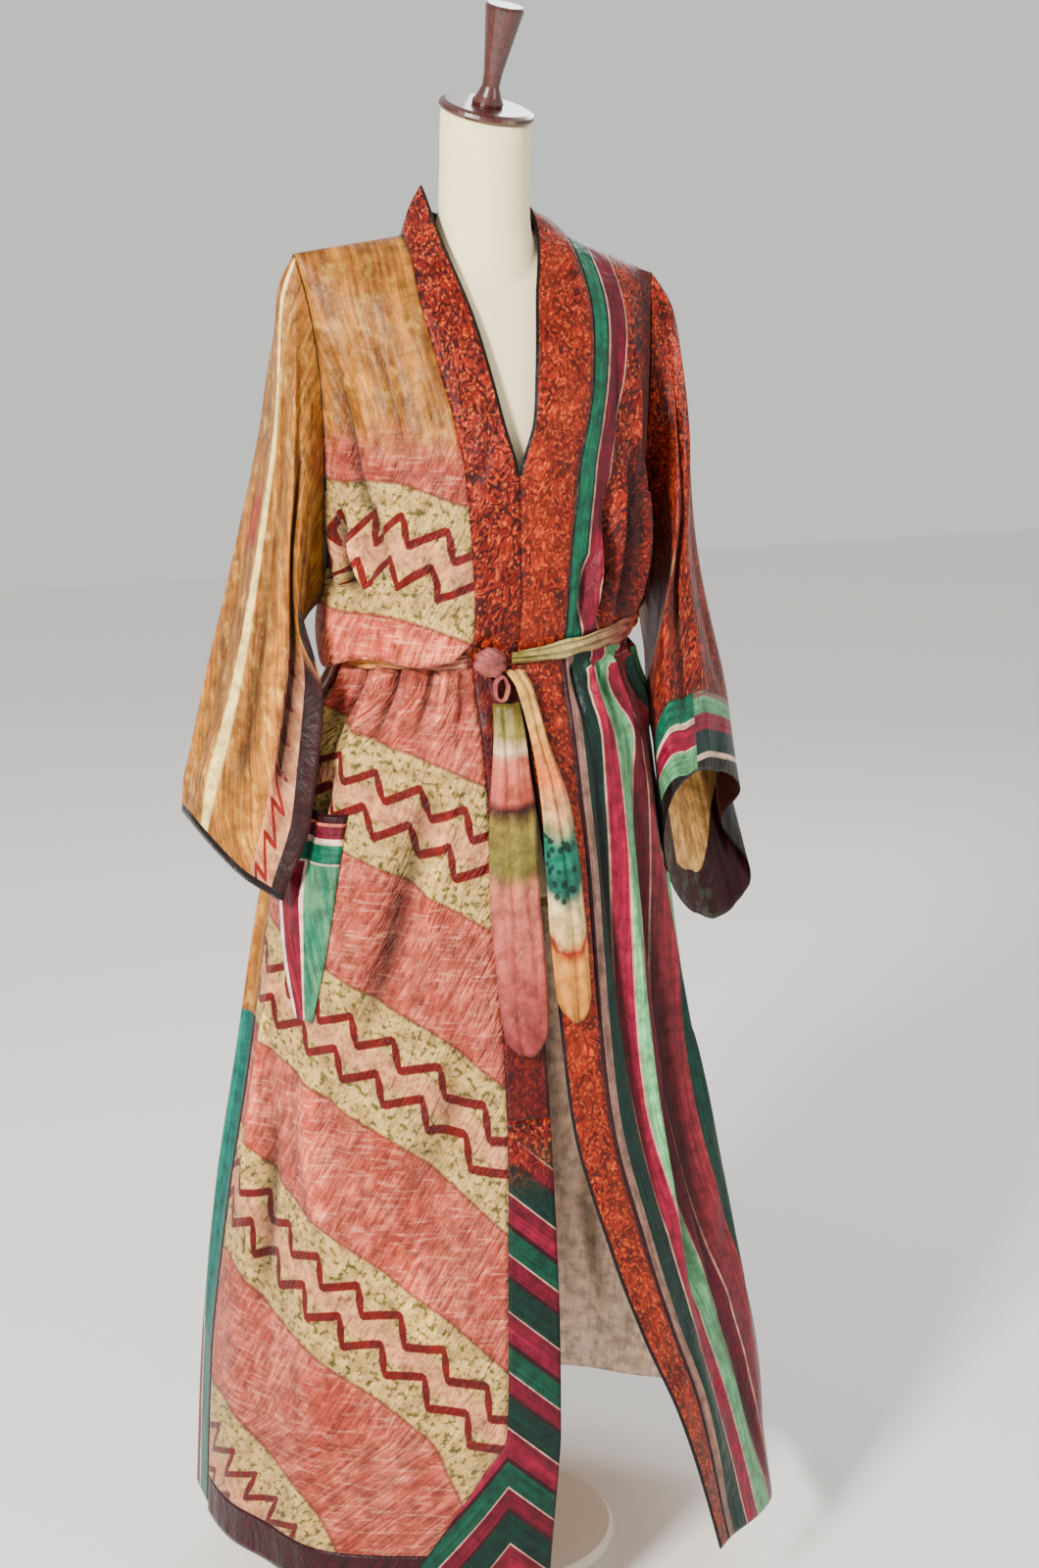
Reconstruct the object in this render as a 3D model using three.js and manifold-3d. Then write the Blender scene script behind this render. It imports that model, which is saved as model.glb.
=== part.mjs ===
// A long kimono duster of patched silk, worn on a limbless dress form.
// Millimetres, +Z up. The origin is the centre of the stand's underside, the front faces -Y,
// and the wearer's left is +X. Each cut piece of cloth is a wall of even thickness.
import * as THREE from "three";
import { mergeVertices } from "three/addons/utils/BufferGeometryUtils.js";
import Module from "manifold-3d";

const wasm = await Module();
wasm.setup();

// ---------- Driving dimensions ----------
const CLOTH = 1.6; // wall of one layer of cloth
const SEAM = 0.3; // gap between two pieces that are sewn together
const RISE = 0.4; // gap between a panel and what lies on it

const NECK_Z = 1398; // neck end of the shoulder seams
const NECK_HALF = 82; // half width between those two ends
const NECK_BACK = 60; // how far the back of the neck seam lies behind the shoulder seams
const RIDGE_Y = 12; // the shoulder seams run along this line
const BUST_Z = 1150; // below this height the drape is given by level rings
const UNDERARM_Z = 1050; // foot of the armholes
const ARMHOLE_OPEN = 15; // degrees that an armhole spreads from the side line, front and back
const WAIST_Z = 1000; // the belt
const BAND_END_Z = 555; // the paisley band on the right front stops here
const HEM_Z = { rightFront: 112, leftFront: 90, back: 78, band: 70 };
// The collar stands highest beside the neck and lowest at the centre back.
const COLLAR = {
  right: { stand: 46, reach: 58 }, // height above the neck seam, distance from the centre plane
  left: { stand: 26, reach: 51 },
  back: { stand: 14 },
};

const FORM_NECK_RADIUS = 44;
const FORM_NECK_TOP = 1512;
const FORM_TILT = { forward: 15, sideways: 6 }; // degrees, the cut of the neck
const CAP_RADIUS = 47;
const CAP_THICK = 8;
const HANDLE_HEIGHT = 95;
const HIP_Z = 745; // underside of the padded torso
const PLATE_THICK = 12;
const PLATE_INSET = 6; // the plate's edge lies this far inside the torso's
const PLATE_EDGE = 2; // its rounded edge
const POLE_RADIUS = 16;
const BASE_RADIUS = 135;
const BASE_THICK = 14;

// ---------- Small helpers ----------
const RAD = Math.PI / 180;
const EPS = 1e-4;
const mix = (a, b, t) => a + (b - a) * t;
const clamp01 = (t) => Math.min(1, Math.max(0, t));
const smooth = (t) => clamp01(t) ** 2 * (3 - 2 * clamp01(t));
const bump = (x, width) => Math.exp(-((x / width) ** 2));
const signedPower = (v, e) => Math.sign(v) * Math.abs(v) ** e;
const vec = (x, y, z) => new THREE.Vector3(x, y, z);
const steps = (from, to, count) =>
  Array.from({ length: count + 1 }, (_, i) => mix(from, to, i / count));

// A smooth curve through one column of a table, with no overshoot between its rows.
function column(rows, key, at) {
  const sorted = [...rows].sort((a, b) => a[at] - b[at]);
  const x = sorted.map((row) => row[at]);
  const y = sorted.map((row) => row[key]);
  const rise = y.slice(1).map((v, i) => (v - y[i]) / (x[i + 1] - x[i]));
  const slope = y.map((_, i) => {
    if (i === 0) return rise[0];
    if (i === y.length - 1) return rise[i - 1];
    const product = rise[i - 1] * rise[i];
    return product <= 0 ? 0 : (2 * product) / (rise[i - 1] + rise[i]);
  });
  return (v) => {
    const w = Math.min(x[x.length - 1], Math.max(x[0], v));
    const i = Math.max(0, Math.min(x.length - 2, x.findIndex((e) => e > w) - 1));
    const k = w >= x[x.length - 1] ? x.length - 2 : i;
    const h = x[k + 1] - x[k];
    const t = (w - x[k]) / h;
    return (
      (1 + 2 * t) * (1 - t) ** 2 * y[k] +
      t * (1 - t) ** 2 * h * slope[k] +
      t * t * (3 - 2 * t) * y[k + 1] +
      t * t * (t - 1) * h * slope[k + 1]
    );
  };
}

// The same curve through each coordinate of a column of points.
function rail(rows, key, at) {
  const part = [0, 1, 2].map((i) =>
    column(rows.map((row) => ({ at: row[at], v: row[key][i] })), "v", "at"),
  );
  return (t) => vec(part[0](t), part[1](t), part[2](t));
}

// ---------- The drape: level rings below the bust ----------
// right, left: half widths. front...: depth before the middle line. back: depth behind it.
// corner: 1 is an ellipse, and under 1 is squarer.
const RINGS = [
  { z: 1150, right: 170, left: 162, frontRight: 140, frontLeft: 140, back: 90, middle: 10, corner: 1 },
  { z: 1070, right: 168, left: 160, frontRight: 140, frontLeft: 140, back: 94, middle: 11, corner: 1 },
  { z: 1030, right: 162, left: 155, frontRight: 134, frontLeft: 134, back: 92, middle: 12, corner: 1 },
  { z: 1000, right: 153, left: 148, frontRight: 125, frontLeft: 125, back: 86, middle: 12, corner: 1 },
  { z: 975, right: 158, left: 152, frontRight: 130, frontLeft: 130, back: 92, middle: 13, corner: 1 },
  { z: 935, right: 180, left: 166, frontRight: 146, frontLeft: 146, back: 106, middle: 14, corner: 1 },
  { z: 880, right: 198, left: 176, frontRight: 158, frontLeft: 158, back: 118, middle: 16, corner: 1 },
  { z: 763, right: 224, left: 191, frontRight: 174, frontLeft: 174, back: 132, middle: 18, corner: 1 },
  { z: 573, right: 252, left: 217, frontRight: 208, frontLeft: 210, back: 150, middle: 20, corner: 1 },
  { z: 414, right: 279, left: 246, frontRight: 232, frontLeft: 262, back: 164, middle: 22, corner: 0.98 },
  { z: 250, right: 300, left: 273, frontRight: 252, frontLeft: 312, back: 178, middle: 24, corner: 0.95 },
  { z: 60, right: 310, left: 300, frontRight: 270, frontLeft: 345, back: 190, middle: 27, corner: 0.92 },
];
const ring = Object.fromEntries(
  ["right", "left", "frontRight", "frontLeft", "back", "middle", "corner"].map((key) => [
    key,
    column(RINGS, key, "z"),
  ]),
);

// Shoulders: half width to the tip, fall of the seam for each mm outwards from the neck.
const SHOULDER = {
  right: { tip: 191, fall: 0.14 },
  left: { tip: 180, fall: 0.42 },
};
const CHEST_CURVE = { front: 1.33, back: 0.9 }; // exponent of the profile, shoulder to bust
const CHEST_RISE = 1.1; // exponent of its height

// Large soft folds that run down the skirt. turn: degrees round from the centre front, negative
// to the wearer's right. width: degrees. depth: mm at the hem, negative for a trough.
const SKIRT_FOLDS = [
  { turn: -150, width: 12, depth: 10 },
  { turn: -128, width: 9, depth: -9 },
  { turn: -108, width: 9, depth: 10 },
  { turn: -66, width: 8, depth: -6 },
  { turn: -48, width: 9, depth: 7 },
  { turn: -26, width: 8, depth: -4 },
  { turn: 36, width: 7, depth: -8 },
  { turn: 54, width: 8, depth: 9 },
  { turn: 74, width: 7, depth: -8 },
  { turn: 104, width: 10, depth: 9 },
  { turn: 130, width: 10, depth: -10 },
  { turn: 158, width: 11, depth: 8 },
];
const FOLD_START_Z = 960;
const FOLD_FULL_Z = 330;
// Folds of the bodice, deepest a little above the belt.
const BODICE_FOLDS = [
  { turn: -62, width: 8, depth: -9 },
  { turn: -40, width: 8, depth: 5 },
  { turn: 34, width: 6, depth: -6 },
  { turn: 52, width: 7, depth: 6 },
  { turn: -140, width: 10, depth: -6 },
  { turn: 145, width: 10, depth: -6 },
];
const BODICE_FOLD_Z = 1075;
const BODICE_FOLD_REACH = 110;

function foldDepth(turn, z) {
  const grown = smooth((FOLD_START_Z - z) / (FOLD_START_Z - FOLD_FULL_Z));
  const near = bump(z - BODICE_FOLD_Z, BODICE_FOLD_REACH) * smooth((z - WAIST_Z - 12) / 40);
  const skirt = SKIRT_FOLDS.map((f) => grown * f.depth * bump(turn - f.turn, f.width));
  const bodice = BODICE_FOLDS.map((f) => near * f.depth * bump(turn - f.turn, f.width));
  return [...skirt, ...bodice].reduce((sum, v) => sum + v, 0);
}

// A station runs down the garment: 0 on the shoulder seam, 1 at the bust, then 1 more a metre.
const stationAt = (z) => 1 + (BUST_Z - z) / 1000;
const heightAt = (station) => BUST_Z - (station - 1) * 1000;
const sideName = (side) => (side < 0 ? "right" : "left");

// Half width and height share of the drape at a station above the bust.
function upperShare(station, curve) {
  const angle = Math.min(station, 1) * 90 * RAD;
  return {
    out: signedPower(Math.sin(angle), curve),
    up: Math.cos(angle) ** CHEST_RISE,
  };
}

// A point of the drape. side: -1 wearer's right, 1 left. face: -1 front, 1 back.
// psi: degrees from the centre line (0) to the side line (90).
function drape(side, face, psi, station) {
  const name = sideName(side);
  const front = face < 0;
  const z = Math.min(BUST_Z, heightAt(Math.max(station, 1)));
  const depthKey = front ? (side < 0 ? "frontRight" : "frontLeft") : "back";
  const corner = ring.corner(z);
  const across = signedPower(Math.sin(psi * RAD), corner);
  const along = signedPower(Math.cos(psi * RAD), corner);
  const lower = vec(
    side * ring[name](z) * across,
    ring.middle(z) + face * ring[depthKey](z) * along,
    station > 1 ? heightAt(station) : BUST_Z,
  );
  const turn = side * (front ? psi : 180 - psi);
  const fold = foldDepth(turn, lower.z);
  lower.x += side * Math.sin(psi * RAD) * fold;
  lower.y += face * Math.cos(psi * RAD) * fold;
  if (station >= 1) return lower;
  const share = upperShare(station, front ? CHEST_CURVE.front : CHEST_CURVE.back);
  const shoulder = SHOULDER[name];
  const x = side * mix(ring[name](BUST_Z), shoulder.tip, share.up) * across;
  const inNeck = Math.min(1, Math.abs(x) / NECK_HALF);
  const neckBack = front ? 0 : NECK_BACK * (1 - inNeck ** 2.5) ** 0.6;
  const topZ = NECK_Z - shoulder.fall * Math.max(0, Math.abs(x) - NECK_HALF);
  return vec(x, mix(RIDGE_Y + neckBack, lower.y, share.out), mix(BUST_Z, topZ, share.up));
}

// psi of the drape point at x. It is negative where a front laps past the centre plane.
function psiAt(side, x, station) {
  const name = sideName(side);
  const z = heightAt(Math.max(station, 1));
  const up = station < 1 ? upperShare(station, 1).up : 0;
  const halfWidth = mix(ring[name](z), SHOULDER[name].tip, up);
  const across = Math.min(1, Math.max(-1, (side * x) / halfWidth));
  return Math.asin(signedPower(across, 1 / ring.corner(z))) / RAD;
}

// ---------- Edges of the two fronts ----------
// x of the free front edge and of the seam between the band and the panel.
const FRONT_EDGES = {
  right: [
    { z: 1398, edge: -58, seam: -82 },
    { z: 1345, edge: -41, seam: -86 },
    { z: 1275, edge: -30, seam: -78 },
    { z: 1231, edge: -23, seam: -70 },
    { z: 1177, edge: -12, seam: -63 },
    { z: 1035, edge: -10, seam: -54 },
    { z: 940, edge: -9, seam: -52 },
    { z: 880, edge: -8, seam: -50 },
    { z: 740, edge: -5, seam: -46 },
    { z: 555, edge: -3, seam: -47 },
    { z: 404, edge: -2, seam: -53 },
    { z: 236, edge: -5, seam: -61 },
    { z: 200, edge: -8, seam: -84 },
    { z: 112, edge: -18, seam: -142 },
    { z: 70, edge: -22, seam: -168 },
  ],
  left: [
    { z: 1398, edge: 53, seam: 84 },
    { z: 1345, edge: 30, seam: 88 },
    { z: 1275, edge: 14, seam: 78 },
    { z: 1231, edge: 6, seam: 66 },
    { z: 1177, edge: -11.4, seam: 50 },
    { z: 1035, edge: -9.4, seam: 38 },
    { z: 940, edge: -8.4, seam: 40 },
    { z: 880, edge: -3, seam: 44 },
    { z: 784, edge: 7, seam: 52 },
    { z: 631, edge: 14, seam: 56 },
    { z: 545, edge: 19, seam: 60 },
    { z: 420, edge: 46, seam: 84 },
    { z: 332, edge: 74, seam: 108 },
    { z: 250, edge: 108, seam: 136 },
    { z: 90, edge: 160, seam: 176 },
  ],
};
const edges = Object.fromEntries(
  Object.entries(FRONT_EDGES).map(([side, rows]) => [
    side,
    { edge: column(rows, "edge", "z"), seam: column(rows, "seam", "z") },
  ]),
);

// Height on the band's side of the chest, where x is known only by height.
const chestHeight = (station) =>
  station >= 1 ? heightAt(station) : mix(BUST_Z, NECK_Z, upperShare(station, 1).up);

function frontPsi(side, which, station) {
  return psiAt(side, edges[sideName(side)][which](chestHeight(station)), station);
}

// psi of the outer side of a panel: the side seam, or the armhole above it.
function sidePsi(station) {
  const up = 1 - station / stationAt(UNDERARM_Z);
  return 90 - (up > 0 ? ARMHOLE_OPEN * signedPower(Math.sin(Math.PI * up), 0.8) : 0);
}

// ---------- Walls of cloth ----------
// A wall from a surface of (u, v). Its thickness lies on the side of inside(point).
// closed: u runs round. trim: how far each edge is drawn back {u0, u1, v0, v1}.
function wall({ surface, us, vs, inside, thick = CLOTH, closed = false, trim = {} }) {
  const wide = us.length;
  const tall = vs.length;
  const du = EPS * Math.sign(us[1] - us[0]);
  const dv = EPS * Math.sign(vs[1] - vs[0]);
  const point = vs.map((v) => us.map((u) => surface(u, v)));
  const chord = (from, to) => to.clone().sub(from).normalize();
  // On a ring the way across is the mean of the two chords, so that sharp folds stay even.
  const acrossAt = (row, c, u, v) => {
    if (!closed) return surface(u + du, v).sub(surface(u - du, v));
    const before = chord(row[(c + wide - 1) % wide], row[c]);
    return before.add(chord(row[c], row[(c + 1) % wide]));
  };
  const normal = vs.map((v, r) =>
    us.map((u, c) => {
      const down = surface(u, v + dv).sub(surface(u, v - dv));
      return acrossAt(point[r], c, u, v).cross(down).normalize();
    }),
  );
  // An edge is drawn back square to itself, towards the next line of points.
  const along = (row, col, stepRow, stepCol) => {
    const at = (k) =>
      stepRow
        ? point[Math.min(tall - 1, Math.max(0, row + k))][col]
        : point[row][closed ? (col + k + wide) % wide : Math.min(wide - 1, Math.max(0, col + k))];
    return at(1).clone().sub(at(-1)).normalize();
  };
  const pull = (row, col, toRow, toCol, distance) => {
    const edge = along(row, col, toRow === row, toRow !== row);
    const way = point[toRow][toCol].clone().sub(point[row][col]);
    return way.addScaledVector(edge, -way.dot(edge)).setLength(distance);
  };
  const moves = [];
  for (let r = 0; r < tall; r++) {
    if (trim.u0) moves.push([r, 0, pull(r, 0, r, 1, trim.u0)]);
    if (trim.u1) moves.push([r, wide - 1, pull(r, wide - 1, r, wide - 2, trim.u1)]);
  }
  for (let c = 0; c < wide; c++) {
    if (trim.v0) moves.push([0, c, pull(0, c, 1, c, trim.v0)]);
    if (trim.v1) moves.push([tall - 1, c, pull(tall - 1, c, tall - 2, c, trim.v1)]);
  }
  moves.forEach(([r, c, by]) => point[r][c].add(by));
  let vote = 0;
  point.forEach((row, r) =>
    row.forEach((p, c) => {
      vote += Math.sign(normal[r][c].dot(p.clone().sub(inside(p))));
    }),
  );
  const out = vote < 0 ? -1 : 1;
  const position = [];
  point.forEach((row) => row.forEach((p) => position.push(p.x, p.y, p.z)));
  point.forEach((row, r) =>
    row.forEach((p, c) => {
      const q = p.clone().addScaledVector(normal[r][c], -thick * out);
      position.push(q.x, q.y, q.z);
    }),
  );
  const outer = (r, c) => r * wide + (c % wide);
  const inner = (r, c) => wide * tall + outer(r, c);
  const index = [];
  const quad = (a, b, c, d) => {
    if (out > 0) index.push(a, b, c, a, c, d);
    else index.push(a, c, b, a, d, c);
  };
  const cells = closed ? wide : wide - 1;
  // Both faces are split along the same diagonal, so that a twisted wall keeps its thickness.
  for (let r = 0; r < tall - 1; r++)
    for (let c = 0; c < cells; c++) {
      quad(outer(r, c), outer(r, c + 1), outer(r + 1, c + 1), outer(r + 1, c));
      quad(inner(r, c), inner(r + 1, c), inner(r + 1, c + 1), inner(r, c + 1));
    }
  // Opposite edges are split along the same diagonal, so that two walls match along a seam.
  const end = tall - 1;
  for (let c = 0; c < cells; c++) {
    quad(outer(0, c + 1), outer(0, c), inner(0, c), inner(0, c + 1));
    quad(outer(end, c + 1), inner(end, c + 1), inner(end, c), outer(end, c));
  }
  const far = wide - 1;
  if (!closed)
    for (let r = 0; r < tall - 1; r++) {
      quad(outer(r, 0), outer(r + 1, 0), inner(r + 1, 0), inner(r, 0));
      quad(outer(r, far), inner(r, far), inner(r + 1, far), outer(r + 1, far));
    }
  return solidGeometry(position, index);
}

function solidGeometry(position, index) {
  const geometry = new THREE.BufferGeometry();
  geometry.setAttribute("position", new THREE.Float32BufferAttribute(position, 3));
  geometry.setIndex(index);
  geometry.computeVertexNormals();
  return geometry;
}

// Rows of stations shared by all the panels, so that their seams match.
const CHEST_ROWS = [0, 0.1, 0.22, 0.36, 0.52, 0.7, 0.86, 1];
const RING_ROWS = [
  1115, 1080, 1050, 1026, 1008, 992, 974, 945, 905, 850, 790, 720, 640, 555, 470, 390, 310, 236, 170,
];
const PANEL_ROWS = [...CHEST_ROWS, ...RING_ROWS.map(stationAt)];
const rowsBetween = (top, bottom) => [
  ...PANEL_ROWS.filter((s) => s > top - EPS && s < bottom - EPS),
  bottom,
];
const bodyAxis = (p) => vec(0, 15, Math.min(p.z, 1330));
const half = SEAM / 2;
const FRONT_COLUMNS = steps(0, 1, 9);
const frontSurface = (side) => (u, s) =>
  drape(side, -1, mix(frontPsi(side, "seam", s), sidePsi(s), u), s);

// ---------- Fronts and back ----------
function frontPanel(side, hemZ) {
  return wall({
    surface: frontSurface(side),
    us: FRONT_COLUMNS,
    vs: rowsBetween(0, stationAt(hemZ)),
    inside: bodyAxis,
    trim: { u0: half, u1: half, v0: half },
  });
}

function backPanel() {
  const surface = (u, s) => drape(u < 0 ? -1 : 1, 1, Math.abs(u) * sidePsi(s), s);
  return wall({
    surface,
    us: steps(-1, 1, 18),
    vs: rowsBetween(0, stationAt(HEM_Z.back)),
    inside: bodyAxis,
    trim: { u0: half, u1: half, v0: half },
  });
}

// ---------- Neckband ----------
const COLLAR_END = 0.42; // station where the band lies flat on the chest
const COLLAR_BACK_LEAN = 15; // the collar's top edge stands this far behind the shoulder seam
const BAND_RISE = 1; // the standing band starts this far above the neck seam
const collarLift = (station) => smooth(1 - station / COLLAR_END) ** 0.8;

// v below 0 runs round the back of the neck: -1 is the centre back, 0 the shoulder seam.
function bandSurface(side) {
  const { stand, reach } = COLLAR[sideName(side)];
  return (u, v) => {
    const s = Math.max(0, v);
    const bulge = 3 * Math.sin(Math.PI * clamp01(u)) * collarLift(s);
    if (v >= 0) {
      const seam = drape(side, -1, frontPsi(side, "seam", s), s);
      const flat = drape(side, -1, mix(frontPsi(side, "edge", s), frontPsi(side, "seam", s), u), s);
      const lift = collarLift(s) * (1 - u);
      flat.z += stand * lift + BAND_RISE * collarLift(s);
      flat.y += COLLAR_BACK_LEAN * lift + 0.5 * bulge;
      flat.x = mix(flat.x, mix(side * reach, seam.x, u), 0.6 * collarLift(s)) + side * bulge;
      return flat;
    }
    const round = -v * 90 * RAD;
    const seamX = side * NECK_HALF * signedPower(Math.cos(round), 0.75);
    const inNeck = Math.min(1, Math.abs(seamX) / NECK_HALF);
    const seamY = RIDGE_Y + NECK_BACK * (1 - inNeck ** 2.5) ** 0.6;
    const seam = vec(seamX, seamY, NECK_Z + BAND_RISE);
    const height = mix(COLLAR.back.stand, stand, (1 + Math.max(-1, v)) ** 2);
    const topY = RIDGE_Y + COLLAR_BACK_LEAN;
    const top = vec(
      side * reach * Math.cos(round),
      mix(topY, RIDGE_Y + NECK_BACK - 8, Math.sin(round)),
      NECK_Z + height,
    );
    const p = top.lerp(seam, u);
    p.x += side * bulge * Math.cos(round);
    p.y += bulge * Math.sin(round);
    return p;
  };
}

function neckband(side, endZ) {
  return wall({
    surface: bandSurface(side),
    us: [0, 0.3, 0.65, 1],
    vs: [-1, -0.8, -0.6, -0.4, -0.2, ...rowsBetween(0, stationAt(endZ))],
    inside: bodyAxis,
    trim: { u1: half, v0: half },
  });
}

// ---------- Lower border of the right front ----------
function rightEdgeBand() {
  const surface = (u, s) =>
    drape(-1, -1, mix(frontPsi(-1, "edge", s), frontPsi(-1, "seam", s), u), s);
  return wall({
    surface,
    us: steps(0, 1, 4),
    vs: rowsBetween(stationAt(BAND_END_Z), stationAt(HEM_Z.band)),
    inside: bodyAxis,
    trim: { u1: half, v0: SEAM },
  });
}

function rightHemBand() {
  const surface = (u, s) => drape(-1, -1, mix(frontPsi(-1, "seam", s), 90, u), s);
  return wall({
    surface,
    us: steps(0, 1, 9),
    vs: [stationAt(HEM_Z.rightFront), stationAt(91), stationAt(HEM_Z.band)],
    inside: bodyAxis,
    trim: { u0: half, u1: half, v0: SEAM },
  });
}

// ---------- Sleeves ----------
// Four rails from the armhole (0) to the cuff (1): the outer fold, the front, the underarm side
// that faces the body, and the back.
const SLEEVES = {
  right: {
    fold: [
      { t: 0, at: [-191, 12, 1382] },
      { t: 0.12, at: [-207, 13, 1345] },
      { t: 0.3, at: [-213, 20, 1240] },
      { t: 0.5, at: [-236, 24, 1095] },
      { t: 0.75, at: [-265, 30, 955] },
      { t: 1, at: [-302, 38, 826] },
    ],
    front: [
      { t: 0, at: [-172, -18, 1255] },
      { t: 0.12, at: [-190, -36, 1190] },
      { t: 0.3, at: [-208, -46, 1110] },
      { t: 0.5, at: [-218, -48, 1010] },
      { t: 0.75, at: [-233, -54, 895] },
      { t: 1, at: [-253, -54, 767] },
    ],
    inner: [
      { t: 0, at: [-167, 12, 1050] },
      { t: 0.12, at: [-184, 14, 1032] },
      { t: 0.3, at: [-200, 14, 995] },
      { t: 0.5, at: [-208, 10, 940] },
      { t: 0.75, at: [-218, 6, 855] },
      { t: 1, at: [-241, 2, 780] },
    ],
    back: [
      { t: 0, at: [-172, 42, 1255] },
      { t: 0.12, at: [-190, 58, 1190] },
      { t: 0.3, at: [-210, 80, 1110] },
      { t: 0.5, at: [-234, 98, 1010] },
      { t: 0.75, at: [-261, 102, 900] },
      { t: 1, at: [-275, 96, 802] },
    ],
  },
  left: {
    fold: [
      { t: 0, at: [180, 12, 1357] },
      { t: 0.12, at: [201, 9, 1322] },
      { t: 0.3, at: [215, 6, 1228] },
      { t: 0.5, at: [231, 8, 1085] },
      { t: 0.8, at: [271, 3, 911] },
      { t: 1, at: [292, 0, 814] },
    ],
    front: [
      { t: 0, at: [163, -18, 1250] },
      { t: 0.12, at: [180, -40, 1185] },
      { t: 0.3, at: [178, -60, 1110] },
      { t: 0.5, at: [163, -72, 1022] },
      { t: 0.8, at: [161, -88, 938] },
      { t: 1, at: [165, -97, 846] },
    ],
    inner: [
      { t: 0, at: [159, 12, 1050] },
      { t: 0.12, at: [175, 14, 1032] },
      { t: 0.3, at: [182, 14, 988] },
      { t: 0.5, at: [180, 16, 930] },
      { t: 0.8, at: [195, 8, 846] },
      { t: 1, at: [227, 20, 692] },
    ],
    back: [
      { t: 0, at: [163, 42, 1250] },
      { t: 0.12, at: [184, 60, 1185] },
      { t: 0.3, at: [202, 84, 1110] },
      { t: 0.5, at: [232, 96, 1000] },
      { t: 0.8, at: [274, 82, 850] },
      { t: 1, at: [320, 62, 682] },
    ],
  },
};
// A tuck draws the left cuff inwards behind its outer fold. w: its place round the sleeve.
const TUCK = { w: -0.18, width: 0.14, start: 0.7, shift: [-42, 4, 6] };
const ARMHOLE_BLEND = 0.3; // share of the sleeve over which it leaves the armhole's outline
const CUFF_START = 0.8; // the striped cuff of the left sleeve

// Armhole outline. w: 0 at the shoulder tip, 1 and -1 at the underarm, positive on the front.
const armhole = (side, w) => {
  const s = Math.abs(w) * stationAt(UNDERARM_Z);
  return drape(side, w > 0 ? -1 : 1, sidePsi(s), s);
};

function sleeveSurface(side) {
  const tables = Object.entries(SLEEVES[sideName(side)]);
  const rails = Object.fromEntries(tables.map(([key, rows]) => [key, rail(rows, "at", "t")]));
  const ringPoint = (w, t) => {
    const at = Object.fromEntries(Object.entries(rails).map(([key, f]) => [key, f(t)]));
    const centre = vec(0, 0, 0);
    Object.values(at).forEach((p) => centre.addScaledVector(p, 0.25));
    const angle = Math.abs(w) * 180 * RAD;
    const across = Math.abs(Math.cos(angle));
    const sideways = Math.abs(Math.sin(angle));
    const pole = Math.abs(w) < 0.5 ? at.fold : at.inner;
    const flank = w > 0 ? at.front : at.back;
    return centre
      .clone()
      .addScaledVector(pole.sub(centre), across)
      .addScaledVector(flank.sub(centre), sideways);
  };
  const surface = (w, t) => {
    const wrapped = w > 1 ? w - 2 : w < -1 ? w + 2 : w;
    const p = ringPoint(wrapped, t);
    const leave = 1 - smooth(t / ARMHOLE_BLEND);
    if (leave > 0) {
      const shift = armhole(side, wrapped).sub(ringPoint(wrapped, 0));
      p.addScaledVector(shift, leave);
    }
    const tucked = side > 0 ? smooth((t - TUCK.start) / (1 - TUCK.start)) : 0;
    p.addScaledVector(vec(...TUCK.shift), tucked * bump(wrapped - TUCK.w, TUCK.width));
    return p;
  };
  return { surface, ringPoint };
}

function sleeve(side, from, to) {
  const { surface, ringPoint } = sleeveSurface(side);
  const under = stationAt(UNDERARM_Z);
  const rows = PANEL_ROWS.filter((s) => s > EPS && s < under - EPS).map((s) => s / under);
  const us = [-1, ...[...rows].reverse().map((w) => -w), 0, ...rows];
  const centre = (p) => {
    const t = clamp01((1220 - p.z) / 420);
    const c = vec(0, 0, 0);
    [0, 0.5, 1, -0.5].forEach((w) => c.addScaledVector(ringPoint(w || EPS, t), 0.25));
    return vec(c.x, c.y, p.z);
  };
  return wall({
    surface,
    us,
    vs: [0, 0.05, 0.12, 0.2, 0.3, 0.4, 0.5, 0.6, 0.7, 0.8, 0.9, 1].filter(
      (t) => t > from - EPS && t < to + EPS,
    ),
    inside: centre,
    closed: true,
    trim: { v0: from > 0 ? half : 2.5 * SEAM, v1: to < 1 ? half : 0 },
  });
}

// ---------- Pocket on the right hip ----------
// u of its two sides across the panel at each height, and how far it gapes from the panel.
const POCKET = [
  { z: 850, outer: 0.92, inner: 0.55, gape: 15 },
  { z: 790, outer: 0.91, inner: 0.56, gape: 9 },
  { z: 720, outer: 0.84, inner: 0.58, gape: 4 },
  { z: 640, outer: 0.72, inner: 0.63, gape: 0.5 },
];

// A point on the flat facets of a front panel.
function onFrontFacets(side, u, station) {
  const surface = frontSurface(side);
  const c = Math.min(FRONT_COLUMNS.length - 2, Math.floor(u * (FRONT_COLUMNS.length - 1)));
  const r = PANEL_ROWS.findIndex((s) => s > station) - 1;
  const [left, right] = [FRONT_COLUMNS[c], FRONT_COLUMNS[c + 1]];
  const [top, bottom] = [PANEL_ROWS[r], PANEL_ROWS[r + 1]];
  const across = (u - left) / (right - left);
  const down = (station - top) / (bottom - top);
  const upper = surface(left, top).lerp(surface(right, top), across);
  const lower = surface(left, bottom).lerp(surface(right, bottom), across);
  return upper.lerp(lower, down);
}

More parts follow.
